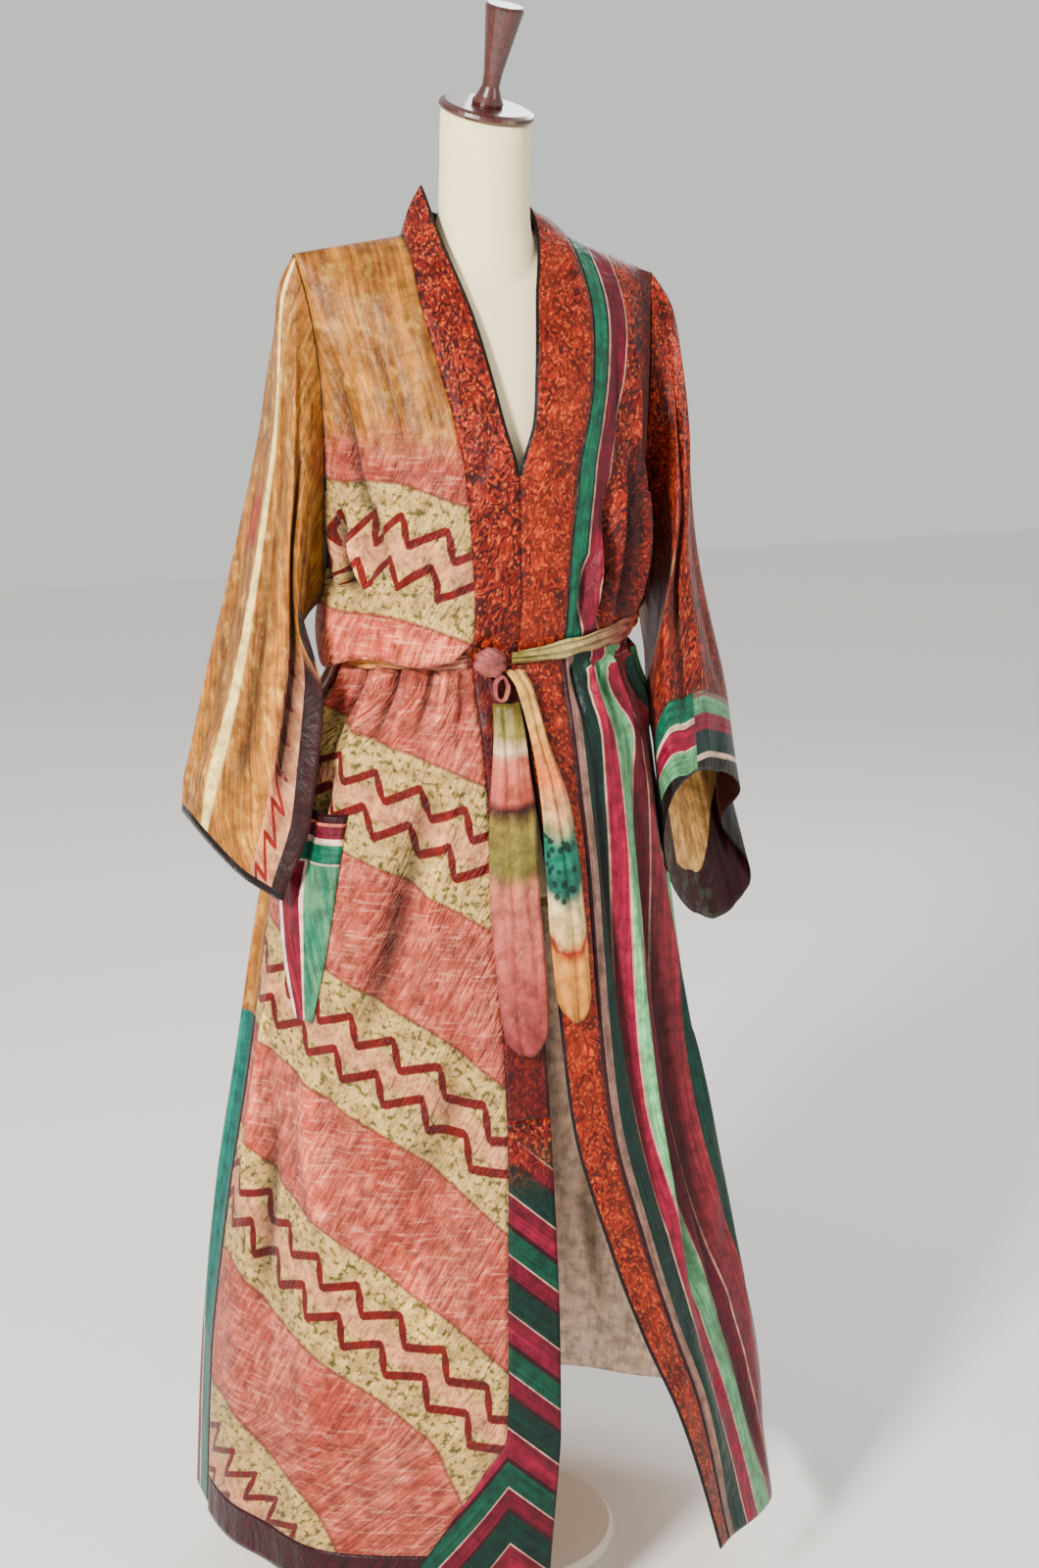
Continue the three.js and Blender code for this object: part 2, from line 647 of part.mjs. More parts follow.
function pocket() {
  const outer = column(POCKET, "outer", "z");
  const inner = column(POCKET, "inner", "z");
  const gape = column(POCKET, "gape", "z");
  const surface = (k, z) => {
    const station = stationAt(z);
    const u = mix(outer(z), inner(z), k);
    const psi = mix(frontPsi(-1, "seam", station), 90, u) * RAD;
    const out = RISE + CLOTH + gape(z) * Math.sin(Math.PI * clamp01(k)) ** 0.7;
    const p = onFrontFacets(-1, u, station);
    return vec(p.x - Math.sin(psi) * out, p.y - Math.cos(psi) * out, p.z);
  };
  return wall({
    surface,
    us: [0, 0.12, 0.3, 0.5, 0.7, 0.88, 1],
    vs: [850, 822, 790, 755, 720, 680, 640],
    inside: bodyAxis,
  });
}

// ---------- Belt ----------
const BELT_HALF = 14; // half its gathered width round the waist
const BELT_THICK = 2;
const BELT_RISE = 2; // gap to the panels, whose facets don't match the belt's
const KNOT = { turn: -14, z: WAIST_Z, half: vec(17, 10, 15), rise: 2 };
const BELT_GAP_DEG = 8; // from the knot's centre to each end of the belt
const BELT_CLIMB = 16; // the belt climbs this much towards the wearer's left

// A point of the drape all round: turn in degrees from the centre front, moved out by out mm.
function around(turn, z, out) {
  const wrapped = ((((turn + 180) % 360) + 360) % 360) - 180;
  const side = wrapped < 0 ? -1 : 1;
  const face = Math.abs(wrapped) < 90 ? -1 : 1;
  const psi = face < 0 ? Math.abs(wrapped) : 180 - Math.abs(wrapped);
  const p = drape(side, face, psi, stationAt(z));
  p.x += side * Math.sin(psi * RAD) * out;
  p.y += face * Math.cos(psi * RAD) * out;
  return p;
}

const beltHeight = (turn) =>
  WAIST_Z + BELT_CLIMB * Math.sin(clamp01((turn - KNOT.turn) / 180) * Math.PI);

function beltStretch(fromTurn, toTurn, count) {
  return wall({
    surface: (turn, v) => around(turn, beltHeight(turn) + v * BELT_HALF, BELT_RISE + BELT_THICK),
    us: steps(fromTurn, toTurn, count),
    vs: [-1, 0, 1],
    inside: (p) => vec(0, 10, p.z),
    thick: BELT_THICK,
    trim: { u0: half, u1: half },
  });
}

function knotCentre() {
  return around(KNOT.turn, KNOT.z, KNOT.half.y + KNOT.rise);
}

function beltKnot() {
  const geometry = new THREE.SphereGeometry(1, 14, 10);
  geometry.scale(KNOT.half.x, KNOT.half.y, KNOT.half.z);
  return geometry;
}

// A small loop that hangs under the knot: an oval ribbon seen from the front.
const LOOP = { halfWide: 8, halfTall: 13, ribbon: 5, drop: 25.4, right: 10, forward: -4.4 };
function beltLoop() {
  const c = knotCentre();
  const surface = (u, v) =>
    vec(
      c.x + LOOP.right + LOOP.halfWide * Math.cos(u * 360 * RAD),
      c.y + LOOP.forward + v * LOOP.ribbon,
      c.z - LOOP.drop + LOOP.halfTall * Math.sin(u * 360 * RAD),
    );
  return wall({
    surface,
    us: steps(0, 1, 16).slice(0, -1),
    vs: [-1, 1],
    inside: () => vec(c.x + LOOP.right, c.y, c.z - LOOP.drop),
    thick: BELT_THICK,
    closed: true,
  });
}

// The two tails hang before the fronts. left and right are x of their sides, out is how far
// their face stands before the drape.
const TAILS = {
  right: [
    { z: 961, from: -39, to: -13, out: 8 },
    { z: 900, from: -46, to: -9, out: 9 },
    { z: 845, from: -52, to: -5, out: 9 },
    { z: 760, from: -54, to: -4, out: 10 },
    { z: 680, from: -52, to: -2, out: 12 },
    { z: 622, from: -46, to: -6, out: 12 },
  ],
  left: [
    { z: 992, from: -25.4, to: -6, out: 10 },
    { z: 975, from: -16, to: 1, out: 13 },
    { z: 930, from: -8, to: 9, out: 12 },
    { z: 880, from: -1, to: 26, out: 11 },
    { z: 830, from: 2, to: 36, out: 11 },
    { z: 760, from: 4, to: 42, out: 12 },
    { z: 690, from: 6, to: 45, out: 12 },
    { z: 648, from: 12, to: 44, out: 12 },
  ],
};
const TAIL_THICK = 3; // the belt is a flat tube, two layers with their turnings

function tail(rows) {
  const from = column(rows, "from", "z");
  const to = column(rows, "to", "z");
  const out = column(rows, "out", "z");
  const surface = (u, z) => {
    const x = mix(from(z), to(z), u);
    const side = x < 0 ? -1 : 1;
    const p = drape(side, -1, psiAt(side, x, stationAt(z)), stationAt(z));
    return vec(x, p.y - out(z) - 2.5 * Math.sin(Math.PI * clamp01(u)), z);
  };
  const top = rows[0].z;
  const bottom = rows[rows.length - 1].z;
  return wall({
    surface,
    us: steps(0, 1, 4),
    vs: steps(top, bottom, 12),
    inside: (p) => vec(p.x, 15, p.z),
    thick: TAIL_THICK,
  });
}

// ---------- Dress form ----------
const FORM_RINGS = [
  { z: 1150, wide: 140, front: 122, back: 80, middle: 10 },
  { z: 1080, wide: 128, front: 112, back: 78, middle: 10 },
  { z: 1000, wide: 118, front: 96, back: 72, middle: 12 },
  { z: 930, wide: 136, front: 104, back: 84, middle: 13 },
  { z: 850, wide: 158, front: 112, back: 98, middle: 14 },
  { z: 780, wide: 166, front: 112, back: 102, middle: 14 },
  { z: 745, wide: 150, front: 98, back: 88, middle: 14 },
];
const FORM_SHOULDER = { tip: 164, fall: 0.44 };
const FORM_CURVE = { front: 1.4, back: 1.02 };
const FORM_CLEAR = 2.6; // the form's shoulders lie this far under the outside of the cloth
const FORM_NECK_CLEAR = 12; // and the back of its neck this far before the neck seam
const formRing = Object.fromEntries(
  ["wide", "front", "back", "middle"].map((key) => [key, column(FORM_RINGS, key, "z")]),
);

function formPoint(side, face, psi, station) {
  const z = heightAt(Math.max(station, 1));
  const depth = face < 0 ? formRing.front(z) : formRing.back(z);
  const across = Math.sin(psi * RAD);
  const along = Math.cos(psi * RAD);
  const ringY = formRing.middle(z) + face * depth * along;
  if (station >= 1) return vec(side * formRing.wide(z) * across, ringY, z);
  const share = upperShare(station, face < 0 ? FORM_CURVE.front : FORM_CURVE.back);
  const x = side * mix(formRing.wide(BUST_Z), FORM_SHOULDER.tip, share.up) * across;
  const inNeck = Math.min(1, Math.abs(x) / NECK_HALF);
  const neckBack = face < 0 ? 0 : (NECK_BACK - FORM_NECK_CLEAR) * (1 - inNeck ** 2.5) ** 0.6;
  const topZ = NECK_Z - FORM_CLEAR - FORM_SHOULDER.fall * Math.max(0, Math.abs(x) - NECK_HALF);
  return vec(x, mix(RIDGE_Y + neckBack, ringY, share.out), mix(BUST_Z, topZ, share.up));
}

// Closed rings stacked into one solid, capped at both ends from the ring's middle.
function stack(rings) {
  const wide = rings[0].length;
  const position = rings.flat().flatMap((p) => [p.x, p.y, p.z]);
  const index = [];
  const at = (r, c) => r * wide + (c % wide);
  for (let r = 0; r < rings.length - 1; r++)
    for (let c = 0; c < wide; c++)
      index.push(at(r, c), at(r + 1, c), at(r + 1, c + 1), at(r, c), at(r + 1, c + 1), at(r, c + 1));
  const cap = (r, flip) => {
    const middle = vec(0, 0, 0);
    rings[r].forEach((p) => middle.addScaledVector(p, 1 / wide));
    const hub = position.length / 3;
    position.push(middle.x, middle.y, middle.z);
    for (let c = 0; c < wide; c++)
      if (flip) index.push(hub, at(r, c + 1), at(r, c));
      else index.push(hub, at(r, c), at(r, c + 1));
  };
  cap(0, false);
  cap(rings.length - 1, true);
  return solidGeometry(position, index);
}

function toSolid(geometry) {
  const bare = new THREE.BufferGeometry();
  bare.setAttribute("position", geometry.getAttribute("position").clone());
  bare.setIndex(geometry.getIndex().clone());
  const merged = mergeVertices(bare, 1e-3);
  const solid = new wasm.Manifold(
    new wasm.Mesh({
      numProp: 3,
      vertProperties: merged.attributes.position.array,
      triVerts: new Uint32Array(merged.index.array),
    }),
  );
  return solid;
}

function fromSolid(solid) {
  const mesh = solid.getMesh();
  const geometry = new THREE.BufferGeometry();
  geometry.setAttribute("position", new THREE.BufferAttribute(mesh.vertProperties, 3));
  geometry.setIndex(new THREE.BufferAttribute(mesh.triVerts, 1));
  geometry.computeVertexNormals();
  return geometry;
}

const FORM_SECTORS = 32;
const FORM_CHEST_STATIONS = [0.04, 0.12, 0.24, 0.4, 0.58, 0.78, 1];
const FORM_HEIGHTS = [1110, 1070, 1030, 1000, 965, 920, 870, 820, 780, 758, HIP_Z];
function formTurn(k) {
  const turn = (k / FORM_SECTORS) * 360;
  const side = turn < 180 ? 1 : -1;
  const bent = side > 0 ? turn : 360 - turn;
  const face = bent < 90 ? -1 : 1;
  return { side, face, psi: face < 0 ? bent : 180 - bent };
}

function torsoSolid() {
  const stations = [...FORM_CHEST_STATIONS, ...FORM_HEIGHTS.map(stationAt)];
  const rings = stations.map((s) =>
    Array.from({ length: FORM_SECTORS }, (_, k) => {
      const { side, face, psi } = formTurn(k);
      return formPoint(side, face, psi, s);
    }),
  );
  return toSolid(stack(rings));
}

// The neck: rings that lean forward to its slanting top.
const NECK_RINGS = [
  { z: 1340, radius: 56, y: 12 },
  { z: 1384, radius: 51, y: 11 },
  { z: 1402, radius: 47, y: 10 },
  { z: 1424, radius: 45, y: 8 },
  { z: 1460, radius: FORM_NECK_RADIUS, y: 5 },
  { z: FORM_NECK_TOP, radius: FORM_NECK_RADIUS, y: 1 },
];
const capNormal = () =>
  vec(0, 0, 1).applyEuler(
    new THREE.Euler(FORM_TILT.forward * RAD, FORM_TILT.sideways * RAD, 0, "XYZ"),
  );

function neckSolid() {
  const rings = [...NECK_RINGS].reverse().map((row) => {
    const lean = smooth((row.z - 1424) / (FORM_NECK_TOP - 1424));
    const n = capNormal().lerp(vec(0, 0, 1), 1 - lean).normalize();
    return Array.from({ length: 32 }, (_, k) => {
      const a = (k / 32) * 360 * RAD;
      const x = row.radius * Math.sin(a);
      const y = -row.radius * Math.cos(a);
      return vec(x, row.y + y, row.z - (n.x * x + n.y * y) / n.z);
    });
  });
  return toSolid(stack(rings));
}

// ---------- Materials ----------
const cloth = (color, roughness = 0.6) =>
  new THREE.MeshStandardMaterial({ color, roughness, metalness: 0, side: THREE.FrontSide });
const MATERIALS = {
  ochre: cloth(0xb88a45),
  rose: cloth(0xc9745f),
  stripe: cloth(0x2f6a57),
  paisley: cloth(0x9c3a20),
  border: cloth(0x4f1f2e),
  belt: cloth(0xc79d78),
  linen: cloth(0xf3e8cc, 0.9),
  wood: new THREE.MeshStandardMaterial({ color: 0x3d120c, roughness: 0.35, metalness: 0 }),
  steel: new THREE.MeshStandardMaterial({ color: 0xeeeae0, roughness: 0.5, metalness: 0.1 }),
};

// ---------- Assembly ----------
const group = new THREE.Group();
function add(name, geometry, material, place = vec(0, 0, 0)) {
  const mesh = new THREE.Mesh(geometry, material);
  mesh.name = name;
  mesh.position.copy(place);
  group.add(mesh);
  return mesh;
}

add("right_front", frontPanel(-1, HEM_Z.rightFront), MATERIALS.rose);
add("left_front", frontPanel(1, HEM_Z.leftFront), MATERIALS.stripe);
add("back", backPanel(), MATERIALS.ochre);
add("neckband_right", neckband(-1, BAND_END_Z), MATERIALS.paisley);
add("neckband_left", neckband(1, HEM_Z.leftFront), MATERIALS.paisley);
add("right_edge_band", rightEdgeBand(), MATERIALS.stripe);
add("right_hem_band", rightHemBand(), MATERIALS.border);
add("right_sleeve", sleeve(-1, 0, 1), MATERIALS.ochre);
add("left_sleeve", sleeve(1, 0, CUFF_START), MATERIALS.paisley);
add("left_sleeve_cuff", sleeve(1, CUFF_START, 1), MATERIALS.stripe);
add("pocket", pocket(), MATERIALS.stripe);
add("belt_right", beltStretch(KNOT.turn - BELT_GAP_DEG, -180, 16), MATERIALS.belt);
add("belt_left", beltStretch(180, KNOT.turn + BELT_GAP_DEG, 18), MATERIALS.belt);
add("belt_knot", beltKnot(), MATERIALS.belt, knotCentre());
add("belt_loop", beltLoop(), MATERIALS.belt);
add("belt_tail_right", tail(TAILS.right), MATERIALS.belt);
add("belt_tail_left", tail(TAILS.left), MATERIALS.belt);
add("form_torso", fromSolid(torsoSolid().add(neckSolid())), MATERIALS.linen);

// The wooden cap and its turned handle stand square on the slanting neck.
const neckTop = new THREE.Group();
neckTop.position.set(0, NECK_RINGS[NECK_RINGS.length - 1].y, FORM_NECK_TOP);
neckTop.quaternion.setFromUnitVectors(vec(0, 0, 1), capNormal());
group.add(neckTop);
function lathe(profile, segments) {
  const points = profile.map(([radius, height]) => new THREE.Vector2(radius, height));
  return new THREE.LatheGeometry(points, segments).rotateX(Math.PI / 2);
}
const cap = new THREE.Mesh(
  lathe(
    [
      [0, SEAM],
      [CAP_RADIUS - 2, SEAM],
      [CAP_RADIUS, SEAM + 2.5],
      [CAP_RADIUS - 1, CAP_THICK - 2],
      [CAP_RADIUS - 6, CAP_THICK],
      [0, CAP_THICK],
    ],
    40,
  ),
  MATERIALS.wood,
);
cap.name = "neck_cap";
neckTop.add(cap);
const handle = new THREE.Mesh(
  lathe(
    [
      [0, 0],
      [15, 0],
      [15.5, 3],
      [12, 9],
      [8.5, 18],
      [9, 30],
      [13, 56],
      [18, HANDLE_HEIGHT - 8],
      [19, HANDLE_HEIGHT - 3],
      [17, HANDLE_HEIGHT],
      [0, HANDLE_HEIGHT],
    ],
    24,
  ),
  MATERIALS.wood,
);
handle.name = "neck_handle";
handle.position.z = CAP_THICK + SEAM;
neckTop.add(handle);

// The stand: a plate under the torso, a round pole and a heavy round base.
function hipPlate() {
  const middleY = formRing.middle(HIP_Z);
  const top = HIP_Z - SEAM;
  const level = (z, shrink) =>
    Array.from({ length: FORM_SECTORS }, (_, k) => {
      const { side, face, psi } = formTurn(k);
      const p = formPoint(side, face, psi, stationAt(HIP_Z));
      const share = 1 - shrink / Math.hypot(p.x, p.y - middleY);
      return vec(p.x * share, middleY + (p.y - middleY) * share, z);
    });
  return stack([
    level(top, PLATE_INSET + PLATE_EDGE),
    level(top - PLATE_EDGE, PLATE_INSET),
    level(top - PLATE_THICK + PLATE_EDGE, PLATE_INSET),
    level(top - PLATE_THICK, PLATE_INSET + PLATE_EDGE),
  ]);
}
add("hip_plate", hipPlate(), MATERIALS.wood);
const poleTop = HIP_Z - PLATE_THICK - 2 * SEAM;
add(
  "pole",
  lathe(
    [
      [0, BASE_THICK + SEAM],
      [POLE_RADIUS + 14, BASE_THICK + SEAM],
      [POLE_RADIUS + 13, BASE_THICK + 6],
      [POLE_RADIUS + 2, BASE_THICK + 22],
      [POLE_RADIUS, BASE_THICK + 34],
      [POLE_RADIUS, poleTop - 12],
      [POLE_RADIUS + 10, poleTop - 8],
      [POLE_RADIUS + 10, poleTop],
      [0, poleTop],
    ],
    24,
  ),
  MATERIALS.steel,
  vec(0, 0, 0),
);
add(
  "base",
  lathe(
    [
      [0, 0],
      [BASE_RADIUS - 3, 0],
      [BASE_RADIUS, 3],
      [BASE_RADIUS, BASE_THICK - 4],
      [BASE_RADIUS - 4, BASE_THICK],
      [0, BASE_THICK],
    ],
    48,
  ),
  MATERIALS.steel,
);

export default group;
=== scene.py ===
"""A long kimono duster of patched silk on a limbless dress form.

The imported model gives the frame, and every cloth piece here is a fine thin shell on the form of
its solid. The garment's sizes are in millimetres, as its cut is, and MM turns them into metres.
"""
import math

import bpy
import numpy as np
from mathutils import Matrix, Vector


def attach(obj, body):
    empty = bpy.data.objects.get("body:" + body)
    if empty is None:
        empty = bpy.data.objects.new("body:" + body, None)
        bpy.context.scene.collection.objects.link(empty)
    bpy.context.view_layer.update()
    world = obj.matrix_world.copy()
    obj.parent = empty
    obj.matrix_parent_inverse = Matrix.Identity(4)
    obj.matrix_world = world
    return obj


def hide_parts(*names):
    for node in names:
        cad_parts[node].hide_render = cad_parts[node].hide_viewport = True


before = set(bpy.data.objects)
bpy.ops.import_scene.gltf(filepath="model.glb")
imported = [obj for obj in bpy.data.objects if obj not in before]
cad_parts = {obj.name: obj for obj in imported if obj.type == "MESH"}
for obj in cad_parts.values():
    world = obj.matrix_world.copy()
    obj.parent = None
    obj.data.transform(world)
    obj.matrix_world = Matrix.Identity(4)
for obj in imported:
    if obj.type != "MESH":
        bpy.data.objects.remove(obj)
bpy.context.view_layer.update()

MM = 0.001
RAD = math.pi / 180

# ---------- Sizes of the garment, in millimetres ----------
CLOTH = 1.2  # a thin shell of one layer
SEAM = 0.3  # gap between two pieces that are sewn together
NECK_Z = 1398  # neck end of the shoulder seams
NECK_HALF = 82  # half width between those two ends
NECK_BACK = 60  # how far the back of the neck seam lies behind the shoulder seams
RIDGE_Y = 12  # the shoulder seams run along this line
BUST_Z = 1150  # below this height the drape is given by level rings
UNDERARM_Z = 1050  # foot of the armholes
ARMHOLE_OPEN = 15  # degrees that an armhole spreads from the side line
WAIST_Z = 1000  # the belt
BAND_END_Z = 555  # the paisley band on the right front stops here
HEM_RIGHT, HEM_LEFT, HEM_BACK, HEM_BAND = 112, 90, 78, 70
CHEST_RISE = 1.1  # exponent of the height from bust to shoulder
FRONT_CURVE, BACK_CURVE = 1.33, 0.9  # exponents of the profile, shoulder to bust


def table(names, text):
    """Rows of numbers under named columns."""
    keys = names.split()
    return [dict(zip(keys, map(float, line.split()))) for line in text.strip().splitlines()]


RINGS = table("z right left front_right front_left back middle corner", """
1150 170 162 140 140  90 10 1
1070 168 160 140 140  94 11 1
1030 162 155 134 134  92 12 1
1000 153 148 125 125  86 12 1
 975 158 152 130 130  92 13 1
 935 180 166 146 146 106 14 1
 880 198 176 158 158 118 16 1
 763 224 191 174 174 132 18 1
 573 252 217 208 210 150 20 1
 414 279 246 232 262 164 22 0.98
 250 300 273 252 312 178 24 0.95
  60 310 300 270 345 190 27 0.92
""")
SHOULDERS = {-1: {"tip": 191, "fall": 0.14}, 1: {"tip": 180, "fall": 0.42}}

# Large folds of the skirt and of the bodice: degrees round from the centre front, negative to
# the wearer's right, width in degrees and depth in millimetres, negative for a trough.
SKIRT_FOLDS = table("turn width depth", """
-150 12 10
-128 9 -9
-108 9 10
-66 8 -6
-48 9 7
-26 8 -4
36 7 -8
54 8 9
74 7 -8
104 10 9
130 10 -10
158 11 8
""")
BODICE_FOLDS = table("turn width depth", """
-62 8 -9
-40 8 5
34 6 -6
52 7 6
-140 10 -6
145 10 -6
""")
FOLD_START_Z, FOLD_FULL_Z = 960, 330
BODICE_FOLD_Z, BODICE_FOLD_REACH = 1075, 110

# x of the free front edge and of the seam between the band and the panel.
FRONT_EDGES = {
    -1: table("z edge seam", """
1398 -58 -82
1345 -41 -86
1275 -30 -78
1231 -23 -70
1177 -12 -63
1035 -10 -54
 940  -9 -52
 880  -8 -50
 740  -5 -46
 555  -3 -47
 404  -2 -53
 236  -5 -61
 200  -8 -84
 112 -18 -142
  70 -22 -168
"""),
    1: table("z edge seam", """
1398  53  84
1345  30  88
1275  14  78
1231   6  66
1177 -11.4 50
1035 -9.4 38
 940 -8.4 40
 880  -3  44
 784   7  52
 631  14  56
 545  19  60
 420  46  84
 332  74 108
 250 108 136
  90 160 176
"""),
}


# ---------- Curves ----------
def column(rows, key, at="z"):
    """A smooth curve through one column of a table, with no overshoot between its rows."""
    order = sorted(rows, key=lambda row: row[at])
    x = np.array([row[at] for row in order], float)
    y = np.array([row[key] for row in order], float)
    rise = np.diff(y) / np.diff(x)
    product = rise[:-1] * rise[1:]
    total = np.where(product > 0, rise[:-1] + rise[1:], 1)
    inner = np.where(product > 0, 2 * product / total, 0)
    slope = np.concatenate(([rise[0]], inner, [rise[-1]]))

    def curve(value):
        v = np.clip(value, x[0], x[-1])
        k = np.clip(np.searchsorted(x, v, side="right") - 1, 0, len(x) - 2)
        h = x[k + 1] - x[k]
        t = (v - x[k]) / h
        return (
            (1 + 2 * t) * (1 - t) ** 2 * y[k]
            + t * (1 - t) ** 2 * h * slope[k]
            + t * t * (3 - 2 * t) * y[k + 1]
            + t * t * (t - 1) * h * slope[k + 1]
        )

    return curve


def rail(rows):
    """The same curve through x, y and z of a table by t."""
    parts = [column(rows, key, "t") for key in "xyz"]
    return lambda t: np.stack([part(t) for part in parts], -1)


def smooth(t):
    t = np.clip(t, 0, 1)
    return t * t * (3 - 2 * t)


def bump(x, width):
    return np.exp(-((x / width) ** 2))


def signed_power(v, e):
    return np.sign(v) * np.abs(v) ** e


def mix(a, b, t):
    return a + (b - a) * t


ring = {key: column(RINGS, key) for key in RINGS[0] if key != "z"}
front_edges = {
    side: {key: column(rows, key) for key in ("edge", "seam")} for side, rows in FRONT_EDGES.items()
}

# ---------- Creases --------------------------
# Each runs from one place to another: turn in degrees, height, width and depth in millimetres,
# negative for a trough. The visible fronts come first, then similar ones at the sides and back.
CREASES = table("turn0 z0 turn1 z1 width depth", """
-62 600 -51 440 16 7
-57 620 -47 450 9 -3
-49 290 -48 150 3 -1.6
-72 232 -22 214 3 -1.2
-68 250 -40 246 3 -1
-30 900 -44 640 13 -6
-24 880 -31 700 9 5
-38 760 -52 560 12 -2.2
-20 650 -30 470 12 -4
-34 460 -24 300 14 4
-74 560 -70 330 12 -6
-80 700 -82 420 9 5
-66 900 -70 760 8 -5
-24 985 -23 900 4 -5
-30 985 -31 880 5 5
-36 988 -38 905 4 -6
-42 985 -46 880 6 5
-50 988 -53 890 5 -7
-57 986 -62 870 7 6
-66 985 -70 880 5 -7
-76 985 -80 860 8 6
-86 985 -90 870 5 -6
-80 996 -46 1056 5 -9
-50 1010 -30 1046 5 -5
-44 1004 -24 1026 4 5
-34 1040 -22 1010 4 -4
-58 1084 -46 1040 6 4
-74 1150 -70 1030 7 -7
-66 1300 -60 1120 10 -6
-54 1330 -52 1180 11 4
-44 1340 -42 1150 9 -3
-36 1190 -50 1176 5 -2.4
-33 1210 -56 1204 4 -2
-36 1120 -30 1050 8 -3
-27 1090 -26 1040 5 3
22 1100 20 1020 6 -5
28 1130 25 1022 6 6
34 1170 31 1020 6 -7
41 1180 36 1024 7 6
48 1200 42 1022 7 -9
57 1190 50 1026 8 7
66 1170 60 1022 7 -9
76 1160 70 1024 8 7
86 1130 80 1022 7 -8
-80 1140 -64 1044 9 -9
-70 1120 -56 1040 7 7
-88 1110 -79 1034 8 -8
-62 1180 -50 1090 8 -4
42 1320 38 1160 8 -3
52 1300 48 1150 9 4
20 985 22 900 4 -5
27 985 30 880 5 5
34 982 38 890 4 -6
41 985 46 860 6 5
49 984 55 880 5 -6
57 984 64 860 6 5
68 984 72 870 5 -6
78 984 82 860 7 5
23 940 29 420 8 -6
33 900 33 300 9 6
42 930 45 240 8 -6
51 880 55 180 9 6
40 560 36 330 9 -5
52 600 48 380 10 5
30 330 38 130 9 4
46 320 52 120 8 -5
58 380 60 160 9 4
62 940 66 260 8 -6
76 860 78 160 9 5
96 985 98 880 5 -5
106 985 110 850 7 6
118 985 121 880 5 -6
128 984 131 860 7 5
140 985 144 880 5 -6
150 985 152 850 7 6
163 984 165 870 5 -5
176 985 175 860 6 5
-172 985 -171 870 5 -6
-160 984 -158 860 7 5
-149 985 -146 880 5 -6
-138 985 -134 850 7 6
-126 985 -122 880 5 -5
-115 984 -112 860 6 5
-104 985 -100 870 5 -5
100 930 104 150 11 -5
112 900 110 240 12 5
124 950 128 120 11 -6
137 880 138 300 13 6
150 940 146 110 12 -5
160 860 158 260 13 5
172 950 170 130 12 -6
-176 880 -174 220 14 6
-164 940 -160 120 12 -5
-151 900 -155 280 13 5
-138 950 -142 140 11 -6
-126 880 -124 240 12 5
-114 930 -112 130 11 -5
-101 900 -100 260 11 5
110 420 114 160 12 5
140 380 136 140 12 -5
170 400 172 150 13 5
-146 400 -142 150 12 -5
-122 440 -126 170 13 5
104 1130 110 1022 7 -5
120 1150 118 1022 8 5
136 1110 140 1022 6 -5
156 1160 150 1024 8 4
178 1130 176 1022 7 -4
-164 1150 -158 1022 8 5
-140 1110 -144 1022 6 -5
-120 1150 -118 1022 8 5
-104 1120 -108 1022 6 -5
130 1300 124 1180 12 -4
160 1320 164 1190 13 4
-158 1310 -162 1180 13 -4
-128 1290 -122 1180 11 4
""")
CREASE_RADIUS = 200  # turns degrees into millimetres round the body
CREASE_START = 0.3  # station where the creases are full, below the smooth shoulders
CREASE_STRENGTH = 1.8  # makes every crease this much deeper than its row says
BELT_ROWS = (975, 990)  # creases that start at these heights run out from the belt
HANGING_SHARE = 0.95  # share of the creases left out where the bodice hangs over the belt
HANGING_ABOVE, HANGING_BELOW = 26, 12  # over these heights the hanging part starts and ends
# The bodice hangs over the belt, most at the wearer's right. out and drop are millimetres.
BLOUSE = table("turn out drop", """
-181 6 0
-130 7 2
-104 10 8
-90 14 26
-78 19 44
-66 15 34
-52 11 30
-38 10 34
-27 8 28
-19 2 6
-15 1 0
20 2 0
60 5 0
100 6 0
181 6 0
""")
BLOUSE_TOP, BLOUSE_FOOT = 1066, 1016
HANG_LIP = 0.72  # share of that fall that hangs, before the cloth turns back under
blouse = {key: column(BLOUSE, key, "turn") for key in ("out", "drop")}


def crease_depth(turn, z):
    """How far the hand-placed creases move the cloth out, in millimetres."""
    arc = turn * RAD * CREASE_RADIUS
    total = np.zeros(np.shape(arc))
    for row in CREASES:
        a = np.array([row["turn0"] * RAD * CREASE_RADIUS, row["z0"]])
        b = np.array([row["turn1"] * RAD * CREASE_RADIUS, row["z1"]])
        way = b - a
        length = math.hypot(*way)
        along = ((arc - a[0]) * way[0] + (z - a[1]) * way[1]) / length**2
        near = np.clip(along, 0, 1)
        off = np.hypot(arc - a[0] - near * way[0], z - a[1] - near * way[1])
        if BELT_ROWS[0] < row["z0"] < BELT_ROWS[1]:
            fade = smooth((1 - along) / 0.8)
        else:
            fade = np.sin(np.pi * near) ** 0.7
        total += CREASE_STRENGTH * row["depth"] * bump(off, row["width"]) * fade
    return total


def blouse_moves(turn, z):
    """How far the bodice stands out and hangs down just above the belt."""
    t = np.clip((BLOUSE_TOP - z) / (BLOUSE_TOP - BLOUSE_FOOT), 0, 1)
    back = np.clip((1 - t) / (1 - HANG_LIP), 0, 1)
    share_out = np.where(t < HANG_LIP, smooth(t / HANG_LIP), back**0.5)
    share_drop = np.where(t < HANG_LIP, (t / HANG_LIP) ** 2, back**0.6)
    return blouse["out"](turn) * share_out, blouse["drop"](turn) * share_drop


